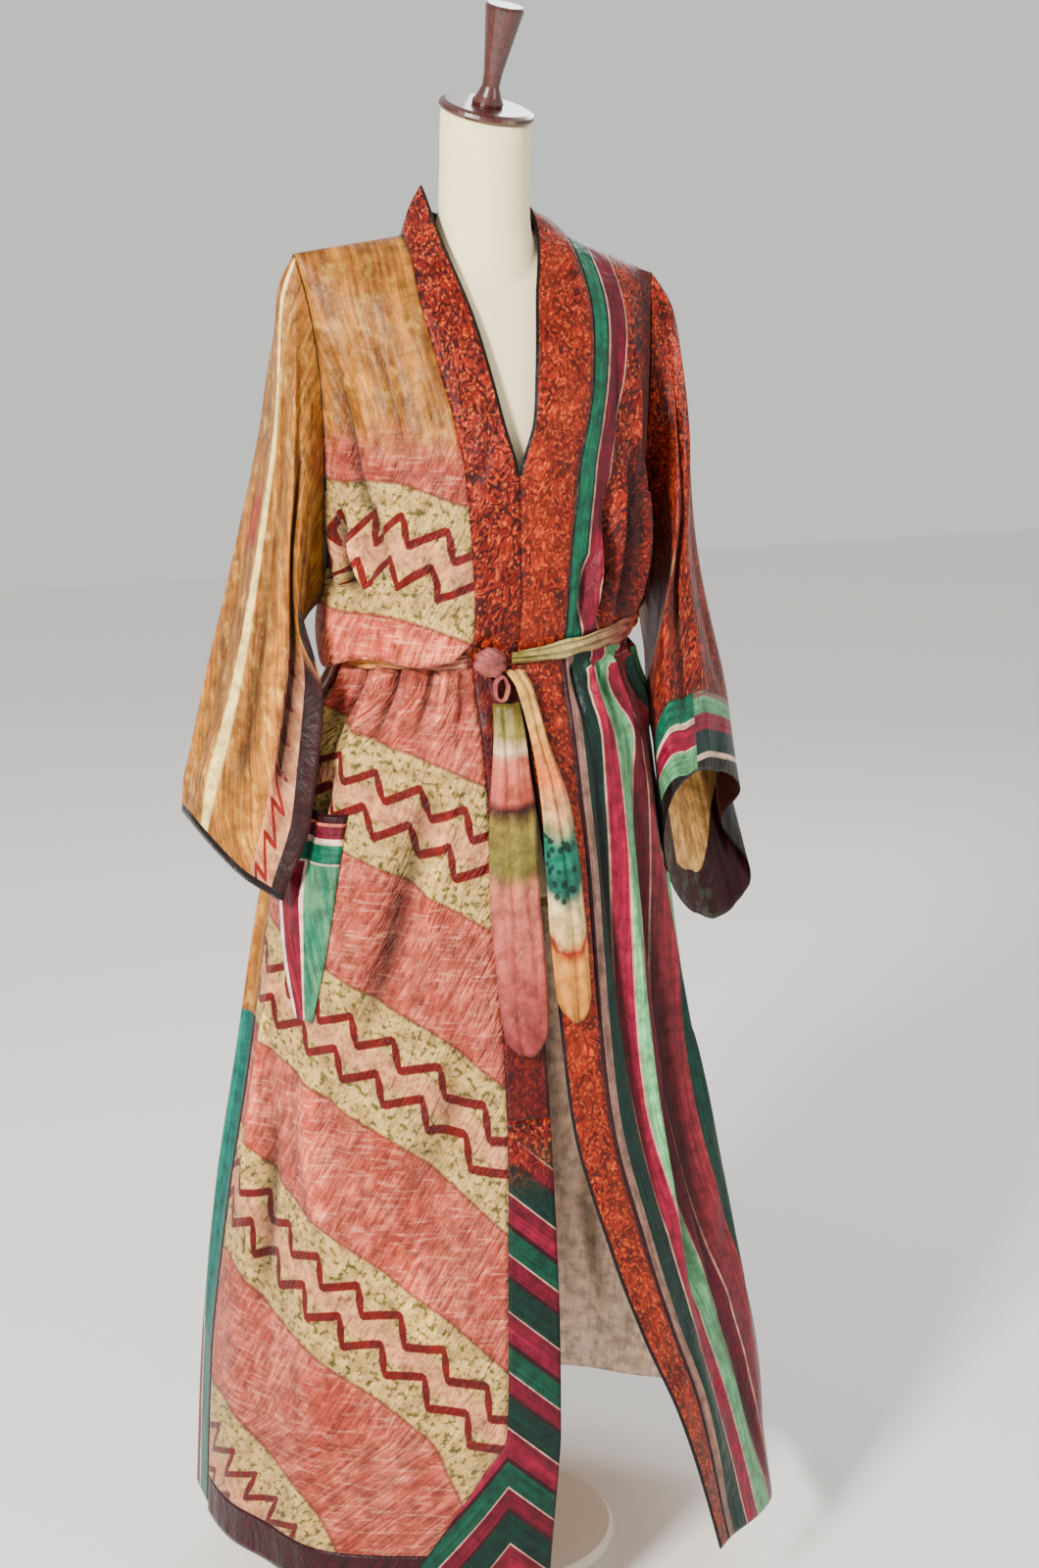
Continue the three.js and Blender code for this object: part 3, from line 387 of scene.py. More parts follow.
def fold_depth(turn, z):
    """How far the large folds of the skirt and the bodice move the cloth out."""
    grown = smooth((FOLD_START_Z - z) / (FOLD_START_Z - FOLD_FULL_Z))
    near = bump(z - BODICE_FOLD_Z, BODICE_FOLD_REACH) * smooth((z - WAIST_Z - 12) / 40)
    total = np.zeros(np.shape(turn))
    for share, rows in ((grown, SKIRT_FOLDS), (near, BODICE_FOLDS)):
        for row in rows:
            total = total + share * row["depth"] * bump(turn - row["turn"], row["width"])
    return total


# ---------- The drape ----------
# A station runs down the garment: 0 on the shoulder seam, 1 at the bust, then 1 more a metre.
def station_at(z):
    return 1 + (BUST_Z - z) / 1000


def height_at(station):
    return BUST_Z - (station - 1) * 1000


def quarter_turn(station):
    """An angle that grows from 0 on the shoulder seam to 90 degrees at the bust."""
    return np.clip(station, 0, 1) * 90 * RAD


def chest_share(station):
    """1 on the shoulder seam and 0 from the bust down."""
    return np.where(station < 1, np.clip(np.cos(quarter_turn(station)), 0, 1) ** CHEST_RISE, 0)


def neck_line(x, depth):
    """How far the neck seam lies behind the shoulder seams at x, if it is so deep in the middle."""
    return depth * (1 - np.minimum(1, np.abs(x) / NECK_HALF) ** 2.5) ** 0.6


def drape(side, face, psi, station, creased=True):
    """Points of the drape. side is -1 on the wearer's right, face is -1 on the front, and psi
    runs from the centre line (0) to the side line (90)."""
    side, face, psi, station = np.broadcast_arrays(side, face, psi, station)
    side = side.astype(float)
    face = face.astype(float)
    left = side > 0
    z_ring = np.minimum(BUST_Z, height_at(np.maximum(station, 1)))
    half = np.where(left, ring["left"](z_ring), ring["right"](z_ring))
    front_depth = np.where(left, ring["front_left"](z_ring), ring["front_right"](z_ring))
    depth = np.where(face < 0, front_depth, ring["back"](z_ring))
    corner = ring["corner"](z_ring)
    sin, cos = np.sin(psi * RAD), np.cos(psi * RAD)
    across, along = signed_power(sin, corner), signed_power(cos, corner)
    turn = side * np.where(face < 0, psi, 180 - psi)
    z_low = np.where(station > 1, height_at(station), BUST_Z)
    out = fold_depth(turn, z_low)
    x = side * half * across + side * sin * out
    y = ring["middle"](z_ring) + face * depth * along + face * cos * out
    share_out = np.sin(quarter_turn(station)) ** np.where(face < 0, FRONT_CURVE, BACK_CURVE)
    share_up = chest_share(station)
    tip = np.where(left, SHOULDERS[1]["tip"], SHOULDERS[-1]["tip"])
    fall = np.where(left, SHOULDERS[1]["fall"], SHOULDERS[-1]["fall"])
    x_up = side * mix(half, tip, share_up) * across
    neck_back = np.where(face < 0, 0, neck_line(x_up, NECK_BACK))
    top_z = NECK_Z - fall * np.maximum(0, np.abs(x_up) - NECK_HALF)
    y_up = mix(RIDGE_Y + neck_back, y, share_out)
    z_up = mix(BUST_Z, top_z, share_up)
    upper = station < 1
    point = np.stack(
        [np.where(upper, x_up, x), np.where(upper, y_up, y), np.where(upper, z_up, z_low)], -1
    )
    if creased:
        lean = np.where(upper, share_out, 1)
        move = crease_depth(turn, point[..., 2]) * smooth(station / CREASE_START)
        hanging = smooth((BLOUSE_TOP + 12 - z_low) / HANGING_ABOVE)
        hanging = hanging * smooth((z_low - BLOUSE_FOOT + 8) / HANGING_BELOW)
        hanging = hanging * smooth(blouse["drop"](turn) / 12)
        move = move * (1 - HANGING_SHARE * hanging)
        way = np.stack([side * sin * lean, face * cos * lean, 1 - lean], -1)
        point = point + way * move[..., None]
        out, drop = blouse_moves(turn, z_low)
        point = point + np.stack([side * sin * out, face * cos * out, -drop], -1)
    return point


def psi_at(side, x, station):
    """psi of the drape point at x, negative where a front laps past the centre plane."""
    z = height_at(np.maximum(station, 1))
    key = "left" if side > 0 else "right"
    half = mix(ring[key](z), SHOULDERS[side]["tip"], chest_share(station))
    across = np.clip(side * x / half, -1, 1)
    return np.arcsin(signed_power(across, 1 / ring["corner"](z))) / RAD


def chest_height(station):
    """Height on the chest at a station, for the tables of the front edges."""
    on_chest = mix(BUST_Z, NECK_Z, chest_share(station))
    return np.where(station >= 1, height_at(station), on_chest)


def front_psi(side, which, station):
    """psi of a front's free edge or of its band's seam."""
    return psi_at(side, front_edges[side][which](chest_height(station)), station)


def side_psi(station):
    """psi of a panel's outer side: the side seam, or the armhole above it."""
    up = np.clip(1 - station / station_at(UNDERARM_Z), 0, 1)
    return 90 - ARMHOLE_OPEN * signed_power(np.sin(np.pi * up), 0.8)


def front_surface(side, creased=True):
    """u runs from the band's seam (0) to the side seam (1)."""
    return lambda u, s: drape(side, -1, mix(front_psi(side, "seam", s), side_psi(s), u), s, creased)


# ---------- Neckband ----------
COLLAR = {-1: {"stand": 46, "reach": 58}, 1: {"stand": 26, "reach": 51}}
COLLAR_BACK_STAND = 14
COLLAR_END = 0.42  # station where the band lies flat on the chest
COLLAR_BACK_LEAN = 15
COLLAR_BULGE = 3
BAND_RISE = 1


def collar_lift(station):
    """1 where the band stands up at the neck, 0 where it lies on the chest."""
    return smooth(1 - station / COLLAR_END) ** 0.8


def band_surface(side):
    """u runs from the free edge (0) to the seam (1). v below 0 runs round the back of the neck."""
    stand, reach = COLLAR[side]["stand"], COLLAR[side]["reach"]

    def surface(u, v):
        s = np.maximum(0, v)
        lift = collar_lift(s)
        bulge = COLLAR_BULGE * np.sin(np.pi * np.clip(u, 0, 1)) * lift
        seam_psi, edge_psi = front_psi(side, "seam", s), front_psi(side, "edge", s)
        seam = drape(side, -1, seam_psi, s)
        flat = drape(side, -1, mix(edge_psi, seam_psi, u), s)
        raised = lift * (1 - u)
        x = mix(flat[..., 0], mix(side * reach, seam[..., 0], u), 0.6 * lift) + side * bulge
        y = flat[..., 1] + COLLAR_BACK_LEAN * raised + 0.5 * bulge
        z = flat[..., 2] + stand * raised + BAND_RISE * lift
        front = np.stack([x, y, z], -1)
        turned = np.clip(-v, 0, 1) * 90 * RAD
        seam_x = side * NECK_HALF * np.cos(turned) ** 0.75
        seam_y = RIDGE_Y + neck_line(seam_x, NECK_BACK)
        seam_z = NECK_Z + BAND_RISE + 0 * u
        height = mix(COLLAR_BACK_STAND, stand, (1 + np.clip(v, -1, 0)) ** 2)
        top_y = mix(RIDGE_Y + COLLAR_BACK_LEAN, RIDGE_Y + NECK_BACK - 8, np.sin(turned))
        bx = mix(side * reach * np.cos(turned), seam_x, u) + side * bulge * np.cos(turned)
        by = mix(top_y, seam_y, u) + bulge * np.sin(turned)
        bz = mix(NECK_Z + height, seam_z, u)
        behind = np.stack([bx, by, bz], -1)
        return np.where((v >= 0)[..., None], front, behind)

    return surface


# ---------- Sleeves ----------
# Rails from the armhole (t 0) to the cuff (t 1): outer fold, front, inner side and back.
SLEEVES = {
    -1: {
        "fold": table("t x y z", """
0 -191 12 1382
0.12 -207 13 1345
0.3 -213 20 1240
0.5 -236 24 1095
0.75 -265 30 955
1 -302 38 826
"""),
        "front": table("t x y z", """
0 -172 -18 1255
0.12 -190 -36 1190
0.3 -208 -46 1110
0.5 -218 -48 1010
0.75 -233 -54 895
1 -253 -54 767
"""),
        "inner": table("t x y z", """
0 -167 12 1050
0.12 -184 14 1032
0.3 -200 14 995
0.5 -208 10 940
0.75 -218 6 855
1 -241 2 780
"""),
        "back": table("t x y z", """
0 -172 42 1255
0.12 -190 58 1190
0.3 -210 80 1110
0.5 -234 98 1010
0.75 -261 102 900
1 -275 96 802
"""),
    },
    1: {
        "fold": table("t x y z", """
0 180 12 1357
0.12 201 9 1322
0.3 215 6 1228
0.5 231 8 1085
0.8 271 3 911
1 292 0 814
"""),
        "front": table("t x y z", """
0 163 -18 1250
0.12 180 -40 1185
0.3 178 -60 1110
0.5 163 -72 1022
0.8 161 -88 938
1 165 -97 846
"""),
        "inner": table("t x y z", """
0 159 12 1050
0.12 175 14 1032
0.3 182 14 988
0.5 180 16 930
0.8 195 8 846
1 227 20 692
"""),
        "back": table("t x y z", """
0 163 42 1250
0.12 184 60 1185
0.3 202 84 1110
0.5 232 96 1000
0.8 274 82 850
1 320 62 682
"""),
    },
}
TUCK = {"w": -0.18, "width": 0.14, "start": 0.7, "shift": (-42, 4, 6)}  # in the left cuff
SWING = {"w": 0.56, "width": 0.17, "by": 26}  # the right sleeve's front swings in to the hip
ARMHOLE_BLEND = 0.3  # share of a sleeve in which it leaves the armhole's own line
CUFF_START = 0.8
SLEEVE_CREASE_STRENGTH = {-1: 2.3, 1: 1.55}
SLEEVE_CREASE_FADE = 0.12
# Creases of the sleeves: w is the place round it (0 the outer fold, 0.5 the front, 1 the inner
# side, -0.5 the back), and t runs down it.
SLEEVE_CREASES = {
    -1: table("w0 t0 w1 t1 width depth", """
0.10 0.10 0.06 0.95 0.045 5
0.20 0.02 0.22 0.85 0.040 -6
0.32 0.05 0.34 0.98 0.050 5
0.44 0.15 0.42 0.80 0.035 -6
0.56 0.30 0.52 0.98 0.045 4
0.68 0.10 0.66 0.60 0.040 -5
-0.10 0.05 -0.14 0.90 0.045 -4
-0.24 0.10 -0.20 0.98 0.050 5
-0.38 0.04 -0.36 0.70 0.040 -5
-0.52 0.20 -0.48 0.98 0.050 5
-0.66 0.10 -0.62 0.80 0.040 -5
-0.80 0.20 -0.78 0.98 0.045 4
0.62 0.58 0.20 0.50 0.030 -3
0.50 0.72 0.12 0.66 0.030 -2.5
"""),
    1: table("w0 t0 w1 t1 width depth", """
0.12 0.10 0.10 0.76 0.040 -4
0.24 0.04 0.26 0.80 0.045 5
0.36 0.08 0.40 0.84 0.035 -6
0.51 0.14 0.51 0.78 0.070 3
0.68 0.10 0.68 0.80 0.060 -2
0.30 0.30 0.42 0.60 0.030 -3
-0.12 0.10 -0.16 0.60 0.045 4
-0.28 0.05 -0.30 0.80 0.045 -5
-0.42 0.10 -0.40 0.96 0.050 5
-0.58 0.10 -0.56 0.90 0.040 -5
-0.76 0.15 -0.74 0.90 0.045 5
0.20 0.62 0.42 0.70 0.030 -2.5
0.16 0.82 0.22 1.00 0.030 -4
0.38 0.82 0.34 1.00 0.030 4
-0.30 0.80 -0.27 1.00 0.040 -3
-0.45 0.80 -0.44 1.00 0.035 4
-0.60 0.82 -0.57 1.00 0.035 -4
-0.74 0.82 -0.76 1.00 0.035 3
-0.88 0.84 -0.86 1.00 0.035 -3
"""),
}


def armhole(side, w):
    """The armhole's edge on the drape, by the place round the sleeve."""
    s = np.abs(w) * station_at(UNDERARM_Z)
    return drape(side, np.where(w > 0, -1, 1), side_psi(s), s, creased=False)


def sleeve_surface(side, creased=1):
    """w runs round the sleeve from -1 to 1, and t down it from 0 to 1."""
    rails = {key: rail(rows) for key, rows in SLEEVES[side].items()}

    def ring_point(w, t):
        """The plain tube's point, between its four rails, and the middle of its ring."""
        at = {key: curve(t) for key, curve in rails.items()}
        centre = sum(at.values()) / 4
        angle = np.abs(w) * 180 * RAD
        pole = np.where((np.abs(w) < 0.5)[..., None], at["fold"], at["inner"])
        flank = np.where((w > 0)[..., None], at["front"], at["back"])
        across = np.abs(np.cos(angle))[..., None]
        sideways = np.abs(np.sin(angle))[..., None]
        return centre + (pole - centre) * across + (flank - centre) * sideways, centre

    def surface(w, t):
        w, t = np.broadcast_arrays(w, t)
        wrapped = np.where(w > 1, w - 2, np.where(w < -1, w + 2, w))
        point, centre = ring_point(wrapped, t)
        leave = 1 - smooth(t / ARMHOLE_BLEND)
        start, _ = ring_point(wrapped, 0 * t)
        point = point + (armhole(side, wrapped) - start) * leave[..., None]
        if side < 0:
            swing = smooth((t - 0.35) / 0.25) * (1 - 0.5 * smooth((t - 0.85) / 0.15))
            out = SWING["by"] * swing * bump(wrapped - SWING["w"], SWING["width"])
            point = point + np.stack([out, -0.2 * out, 0 * out], -1)
        if side > 0:
            tucked = smooth((t - TUCK["start"]) / (1 - TUCK["start"]))
            near = tucked * bump(wrapped - TUCK["w"], TUCK["width"])
            point = point + np.array(TUCK["shift"]) * near[..., None]
        move = np.zeros(t.shape)
        for row in SLEEVE_CREASES[side]:
            share = np.clip((t - row["t0"]) / (row["t1"] - row["t0"]), 0, 1)
            middle = mix(row["w0"], row["w1"], share)
            fade = smooth((t - row["t0"]) / SLEEVE_CREASE_FADE)
            fade = fade * smooth((row["t1"] + SLEEVE_CREASE_FADE / 2 - t) / SLEEVE_CREASE_FADE)
            depth = SLEEVE_CREASE_STRENGTH[side] * row["depth"]
            move = move + depth * bump(wrapped - middle, row["width"]) * fade
        way = point - centre
        way = way / np.linalg.norm(way, axis=-1, keepdims=True)
        return point + way * (creased * move * smooth(t / 0.1))[..., None]

    return surface


# ---------- Meshes ----------
def arc_lengths(points, axis):
    """Length along each row or column of points, from its start."""
    step = np.linalg.norm(np.diff(points, axis=axis), axis=-1)
    total = np.cumsum(step, axis=axis)
    zero = np.zeros_like(np.take(total, [0], axis=axis))
    return np.concatenate([zero, total], axis=axis)


def edge_distance(points, closed):
    """Distance in millimetres from each point to the nearest edge of its piece."""
    down = arc_lengths(points, 0)
    near = np.minimum(down, down[-1:] - down)
    if closed:
        return near
    across = arc_lengths(points, 1)
    return np.minimum(near, np.minimum(across, across[:, -1:] - across))


def trimmed(points, left=0.0, right=0.0, top=0.0, bottom=0.0):
    """The same grid with its edges drawn in by these millimetres."""
    p = points.copy()
    columns, rows = p.swapaxes(0, 1), p
    for lines, first, second, gap in (
        (columns, 0, 1, left), (columns, -1, -2, right), (rows, 0, 1, top), (rows, -1, -2, bottom),
    ):
        way = lines[second] - lines[first]
        length = np.linalg.norm(way, axis=-1, keepdims=True)
        lines[first] += way * gap / np.maximum(length, 1e-6)
    return p


def grid(surface, us, vs):
    """Points of a surface: a row for each v and a column for each u."""
    u, v = np.meshgrid(us, vs)
    return surface(u, v)


def put(name, data):
    """A new object in the scene."""
    obj = bpy.data.objects.new(name, data)
    bpy.context.scene.collection.objects.link(obj)
    return obj


def grid_object(name, points, closed=False, ring_rows=False):
    """A mesh of quads through rows and columns of points, which are in millimetres. closed joins
    the last column to the first, and ring_rows the last row to the first."""
    tall, wide = points.shape[:2]
    row_steps = np.arange(tall if ring_rows else tall - 1)
    r, c = np.meshgrid(row_steps, np.arange(wide if closed else wide - 1), indexing="ij")
    below, right = (r + 1) % tall, (c + 1) % wide
    quads = np.stack([r * wide + c, below * wide + c, below * wide + right, r * wide + right], -1)
    mesh = bpy.data.meshes.new(name)
    mesh.from_pydata((points.reshape(-1, 3) * MM).tolist(), [], quads.reshape(-1, 4).tolist())
    mesh.shade_smooth()
    return put(name, mesh)


def give_vectors(obj, name, values):
    """Stores three numbers for each point, which the materials read."""
    layer = obj.data.attributes.new(name, "FLOAT_VECTOR", "POINT")
    layer.data.foreach_set("vector", np.asarray(values, np.float32).reshape(-1))


def face_outwards(obj, hub):
    """Turns the faces so that most of them look away from hub(centres)."""
    mesh = obj.data
    count = len(mesh.polygons)
    centre, normal = np.zeros(count * 3), np.zeros(count * 3)
    mesh.polygons.foreach_get("center", centre)
    mesh.polygons.foreach_get("normal", normal)
    centre, normal = centre.reshape(-1, 3), normal.reshape(-1, 3)
    if np.sum((centre - hub(centre)) * normal) < 0:
        mesh.flip_normals()


def body_axis(centre):
    """The middle of the body at each height, in metres."""
    x = 0 * centre[:, 0]
    return np.stack([x, x + 15 * MM, np.minimum(centre[:, 2], 1.33)], -1)


def row_middle(points):
    """The middle of a tube at each height, from the points of its rows."""
    middle = points.mean(axis=1)
    order = np.argsort(middle[:, 2])
    z = middle[order, 2] * MM

    def hub(centre):
        x = np.interp(centre[:, 2], z, middle[order, 0] * MM)
        y = np.interp(centre[:, 2], z, middle[order, 1] * MM)
        return np.stack([x, y, centre[:, 2]], -1)

    return hub


def relief(points, plain, middle=(0, 15)):
    """How far creases move each point away from a middle line, in millimetres."""
    far, near = points[..., :2] - middle, plain[..., :2] - middle
    return np.linalg.norm(far, axis=-1) - np.linalg.norm(near, axis=-1)


def stand_for(obj, node, *materials):
    """Lets a piece take the place of its CAD node, with these materials."""
    for material in materials:
        obj.data.materials.append(material)
    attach(obj, "root")
    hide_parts(node)


def give_cut(obj, points, edge):
    """Stores the distance across and down the flat piece and to its nearest edge, in metres."""
    cut = np.stack([arc_lengths(points, 1), arc_lengths(points, 0), edge], -1)
    give_vectors(obj, "cut", cut * MM)


def cloth(node, points, materials, closed=False, hub=body_axis, thick=CLOTH, places=None):
    """A shell of cloth through a grid, outer face first in materials and then its lining.

    places are what the pattern follows, and the depth of the creases comes last."""
    obj = grid_object(node + "_cloth", points, closed)
    face_outwards(obj, hub)
    give_cut(obj, points, edge_distance(points, closed))
    if places is not None:
        give_vectors(obj, "place", np.stack(np.broadcast_arrays(*places), -1))
    shell = obj.modifiers.new("thickness", "SOLIDIFY")
    shell.thickness = thick * MM
    shell.offset = -1
    shell.material_offset = len(materials) - 1
    stand_for(obj, node, *materials)


# ---------- Materials ----------
def rgb(red, green, blue):
    """A colour given as 0 to 255 on the screen, as the linear values that shaders use."""
    def linear(v):
        v /= 255
        return v / 12.92 if v <= 0.04045 else ((v + 0.055) / 1.055) ** 2.4

    return (linear(red), linear(green), linear(blue), 1)


# The silk's tones: worn patches, painted shade in the troughs of its creases and a painted
# highlight along their ridges. HOLLOW and RIDGE are millimetres of depth, from none of the effect
# to all of it or back.
SILK_TONES = [(0, (0.66, 0.64, 0.62, 1)), (0.5, (0.95, 0.95, 0.94, 1)), (1, (1.16, 1.14, 1.1, 1))]
HOLLOW, HOLLOW_SHARE, HOLLOW_SHADE = (-13.0, 0.5), 0.72, (0.012, 0.004, 0.003, 1)
RIDGE, RIDGE_SHARE, RIDGE_HIGHLIGHT = (1.0, 9.0), 0.5, (1.9, 1.85, 1.7, 1)
SATURATION, GAMMA = 1.02, 1.3


class Graph:
    """A material's nodes, made by short calls that give back sockets."""

    def __init__(self, name):
        self.material = bpy.data.materials.new(name)
        self.material.use_nodes = True
        self.tree = self.material.node_tree
        self.tree.nodes.clear()

    def node(self, kind, inputs, **settings):
        made = self.tree.nodes.new(kind)
        for key, value in settings.items():
            setattr(made, key, value)
        for key, value in inputs.items():
            if isinstance(value, bpy.types.NodeSocket):
                self.tree.links.new(value, made.inputs[key])
            else:
                made.inputs[key].default_value = value
        return made

    def math(self, operation, a, b=0.0, c=0.0):
        return self.node("ShaderNodeMath", {0: a, 1: b, 2: c}, operation=operation).outputs[0]

    def add(self, a, b):
        return self.math("ADD", a, b)

    def sub(self, a, b):
        return self.math("SUBTRACT", a, b)

    def mul(self, a, b):
        return self.math("MULTIPLY", a, b)

    def below(self, a, b):
        return self.math("LESS_THAN", a, b)

    def above(self, a, b):
        return self.math("GREATER_THAN", a, b)

    def less(self, a):
        """1 less a."""
        return self.sub(1.0, a)

    def size(self, a):
        """a without its sign."""
        return self.math("ABSOLUTE", a)

    def object_place(self):
        return self.node("ShaderNodeTexCoord", {}).outputs["Object"]

    def surface(self, **inputs):
        """The finished material. The inputs are named as on the shader, with _ for a space."""
        named = {key.replace("_", " "): value for key, value in inputs.items()}
        shader = self.node("ShaderNodeBsdfPrincipled", named)
        self.node("ShaderNodeOutputMaterial", {0: shader.outputs[0]})
        return self.material

    def attribute(self, name):
        """The three numbers stored at each point."""
        vector = self.node("ShaderNodeAttribute", {}, attribute_name=name).outputs["Vector"]
        parts = self.node("ShaderNodeSeparateXYZ", {0: vector})
        return parts.outputs[0], parts.outputs[1], parts.outputs[2]

    def vector(self, x, y=0.0):
        return self.node("ShaderNodeCombineXYZ", {0: x, 1: y}).outputs[0]

    def vectors(self, operation, a, b):
        return self.node("ShaderNodeVectorMath", {0: a, 1: b}, operation=operation).outputs[0]

    def noise(self, vector, scale, detail=3.0, roughness=0.6, distortion=0.0):
        inputs = {"Vector": vector, "Scale": scale, "Detail": detail, "Roughness": roughness,
                  "Distortion": distortion}
        return self.node("ShaderNodeTexNoise", inputs).outputs[0]

    def voronoi(self, vector, scale):
        inputs = {"Vector": vector, "Scale": scale}
        return self.node("ShaderNodeTexVoronoi", inputs).outputs["Distance"]

    def blend(self, share, a, b, how="MIX"):
        made = self.node("ShaderNodeMix", {0: share, 6: a, 7: b}, data_type="RGBA", blend_type=how)
        return made.outputs[2]

    def between(self, value, low, high):
        """0 at low and 1 at high, smooth between."""
        inputs = {"Value": value, "From Min": low, "From Max": high}
        return self.node("ShaderNodeMapRange", inputs, interpolation_type="SMOOTHSTEP").outputs[0]

    def ramp(self, value, stops, kind="LINEAR"):
        """stops are (place from 0 to 1, colour)."""
        made = self.node("ShaderNodeValToRGB", {0: value})
        band = made.color_ramp
        band.interpolation = kind
        while len(band.elements) < len(stops):
            band.elements.new(1)
        for element, (place, colour) in zip(band.elements, stops):
            element.position = place
            element.color = colour
        return made.outputs[0]

    def spots(self, vector, scale, low=0.3, high=0.7, detail=3.0):
        return self.between(self.noise(vector, scale, detail), low, high)

    def streaks(self, along, across, fine, long):
        """Noise drawn out along one direction, 0 to 1. fine and long are its scales."""
        return self.spots(self.vector(self.mul(across, fine), self.mul(along, long)), 1.0)

    def silk(self, colour, roughness=0.46, relief=1.0, ridges=None):
        """The finish of every silk piece: weave, small crumples, seams pressed in, a sheen, painted
        shade in the troughs of the creases and a painted highlight on their ridges.
        """
        place = self.object_place()
        edge = self.attribute("cut")[2]
        depth = self.attribute("place")[2]
        crumple = self.noise(self.vectors("MULTIPLY", place, (1, 1, 0.5)), 34.0, 5.0, 0.6, 0.8)
        soft = self.noise(place, 11.0, 2.0)
        height = self.add(self.mul(crumple, 0.8), self.mul(soft, 1.0))
        height = self.add(height, self.mul(self.between(edge, 0.0, 4 * MM), 0.16))
        if ridges is not None:
            height = self.add(height, ridges)
        coarse = {"Height": height, "Strength": 0.75 * relief, "Distance": 0.01}
        low = self.node("ShaderNodeBump", coarse)
        weave = self.noise(self.vectors("MULTIPLY", place, (1, 1, 0.25)), 900.0, 2.0)
        fine = {"Height": weave, "Strength": 0.2, "Distance": 0.0006, "Normal": low.outputs[0]}
        normal = self.node("ShaderNodeBump", fine).outputs[0]
        worn = self.spots(place, 70.0, 0.3, 0.72, 4.0)
        shade = self.blend(1.0, colour, self.ramp(worn, SILK_TONES), "MULTIPLY")
        # Painted shade: the troughs of the creases are darkened towards HOLLOW_SHADE.
        deep = self.less(self.between(depth, *HOLLOW))
        shade = self.blend(self.mul(deep, HOLLOW_SHARE), shade, HOLLOW_SHADE)
        # Painted highlight: the ridges of the creases are lightened.
        ridge_highlight = self.mul(self.between(depth, *RIDGE), RIDGE_SHARE)
        highlighted = self.blend(1.0, shade, RIDGE_HIGHLIGHT, "MULTIPLY")
        shade = self.blend(ridge_highlight, shade, highlighted)
        rich = self.node("ShaderNodeHueSaturation", {"Saturation": SATURATION, "Color": shade})
        shade = self.node("ShaderNodeGamma", {0: rich.outputs[0], 1: GAMMA}).outputs[0]
        gloss = self.math("MULTIPLY_ADD", worn, 0.14, roughness - 0.07)
        return self.surface(
            Base_Color=shade, Roughness=gloss, Sheen_Weight=0.06, Sheen_Roughness=0.4,
            Specular_IOR_Level=0.2, Normal=normal,
        )


INK = rgb(34, 12, 10)
PALE = rgb(228, 200, 184)
THIN = rgb(196, 160, 148)
RUST, RUST_LIGHT = rgb(170, 58, 30), rgb(206, 104, 62)
MAROON, MAROON_DARK = rgb(118, 26, 54), rgb(66, 12, 30)
MAGENTA, PINK = rgb(152, 30, 72), rgb(216, 126, 104)
GREEN, GREEN_DARK, GREEN_LIGHT = rgb(22, 116, 92), rgb(8, 58, 50), rgb(118, 176, 134)
TAUPE = rgb(150, 120, 110)
GOLD, GOLD_DARK, GOLD_LIGHT = rgb(206, 152, 72), rgb(104, 62, 24), rgb(250, 218, 132)


def paisley(g, across, down):
    """Rust silk closely covered with small curls in dark brick and salmon."""
    flat = g.vector(across, g.mul(down, 0.8))
    field = g.noise(flat, 78.0, 1.0, 0.5, 0.7)
    curl = g.size(g.sub(g.math("FRACT", g.mul(field, 5.0)), 0.5))
    dark = g.less(g.between(curl, 0.13, 0.22))
    pale = g.mul(g.between(curl, 0.36, 0.46), g.spots(flat, 150.0, 0.45, 0.6))
    dots = g.less(g.between(g.voronoi(flat, 210.0), 0.2, 0.34))
    shade = g.blend(g.spots(flat, 26.0), rgb(112, 28, 17), rgb(156, 52, 26))
    shade = g.blend(g.mul(dark, 0.95), shade, rgb(72, 14, 12))
    shade = g.blend(g.mul(pale, 0.85), shade, RUST_LIGHT)
    return g.blend(g.mul(dots, 0.45), shade, rgb(226, 140, 84))


def stripes(g, place, rows, repeat, along):
    """Woven stripes. place is in metres; rows are (start in millimetres, colour)."""
    wrapped = g.math("FRACT", g.mul(place, 1 / (repeat * MM)))
    shade = g.ramp(wrapped, [(start / repeat, colour) for start, colour in rows], "CONSTANT")
    run = g.streaks(along, place, 380.0, 14.0)
    lines = g.blend(run, (0.5, 0.5, 0.5, 1), (1.3, 1.25, 1.2, 1))
    return g.blend(0.7, shade, g.blend(1.0, shade, lines, "MULTIPLY"))


def zigzag(g, across, down, period, swing, thick):
    """1 on a zigzag line that climbs slowly and drops steeply. All in metres."""
    a = g.math("FRACT", g.mul(across, 1 / period))
    climb, fall = 0.82, 0.18
    rise = g.math("MINIMUM", g.mul(a, 1 / climb), g.mul(g.less(a), 1 / fall))
    wave = g.math("MULTIPLY_ADD", rise, 2 * swing, -swing)
    steep = g.math("MULTIPLY_ADD", g.above(a, climb), -0.76, 1.0)
    off = g.mul(g.size(g.sub(down, wave)), steep)
    on_line = g.less(g.between(off, thick * 0.38, thick * 0.58))
    return g.mul(on_line, g.below(g.size(down), swing + thick / 2))


def ochre(g, across, down):
    """Plain gold silk with the long soft streaks of its weave."""
    flat = g.vector(across, down)
    shade = g.blend(g.spots(flat, 9.0), rgb(188, 136, 68), GOLD)
    shade = g.blend(g.mul(g.streaks(down, across, 60.0, 5.0), 0.6), shade, rgb(132, 82, 34))
    shade = g.blend(g.mul(g.streaks(down, across, 170.0, 9.0), 0.7), shade, GOLD_DARK)
    return g.blend(g.mul(g.spots(flat, 40.0, 0.5, 0.8), 0.5), shade, GOLD_LIGHT)


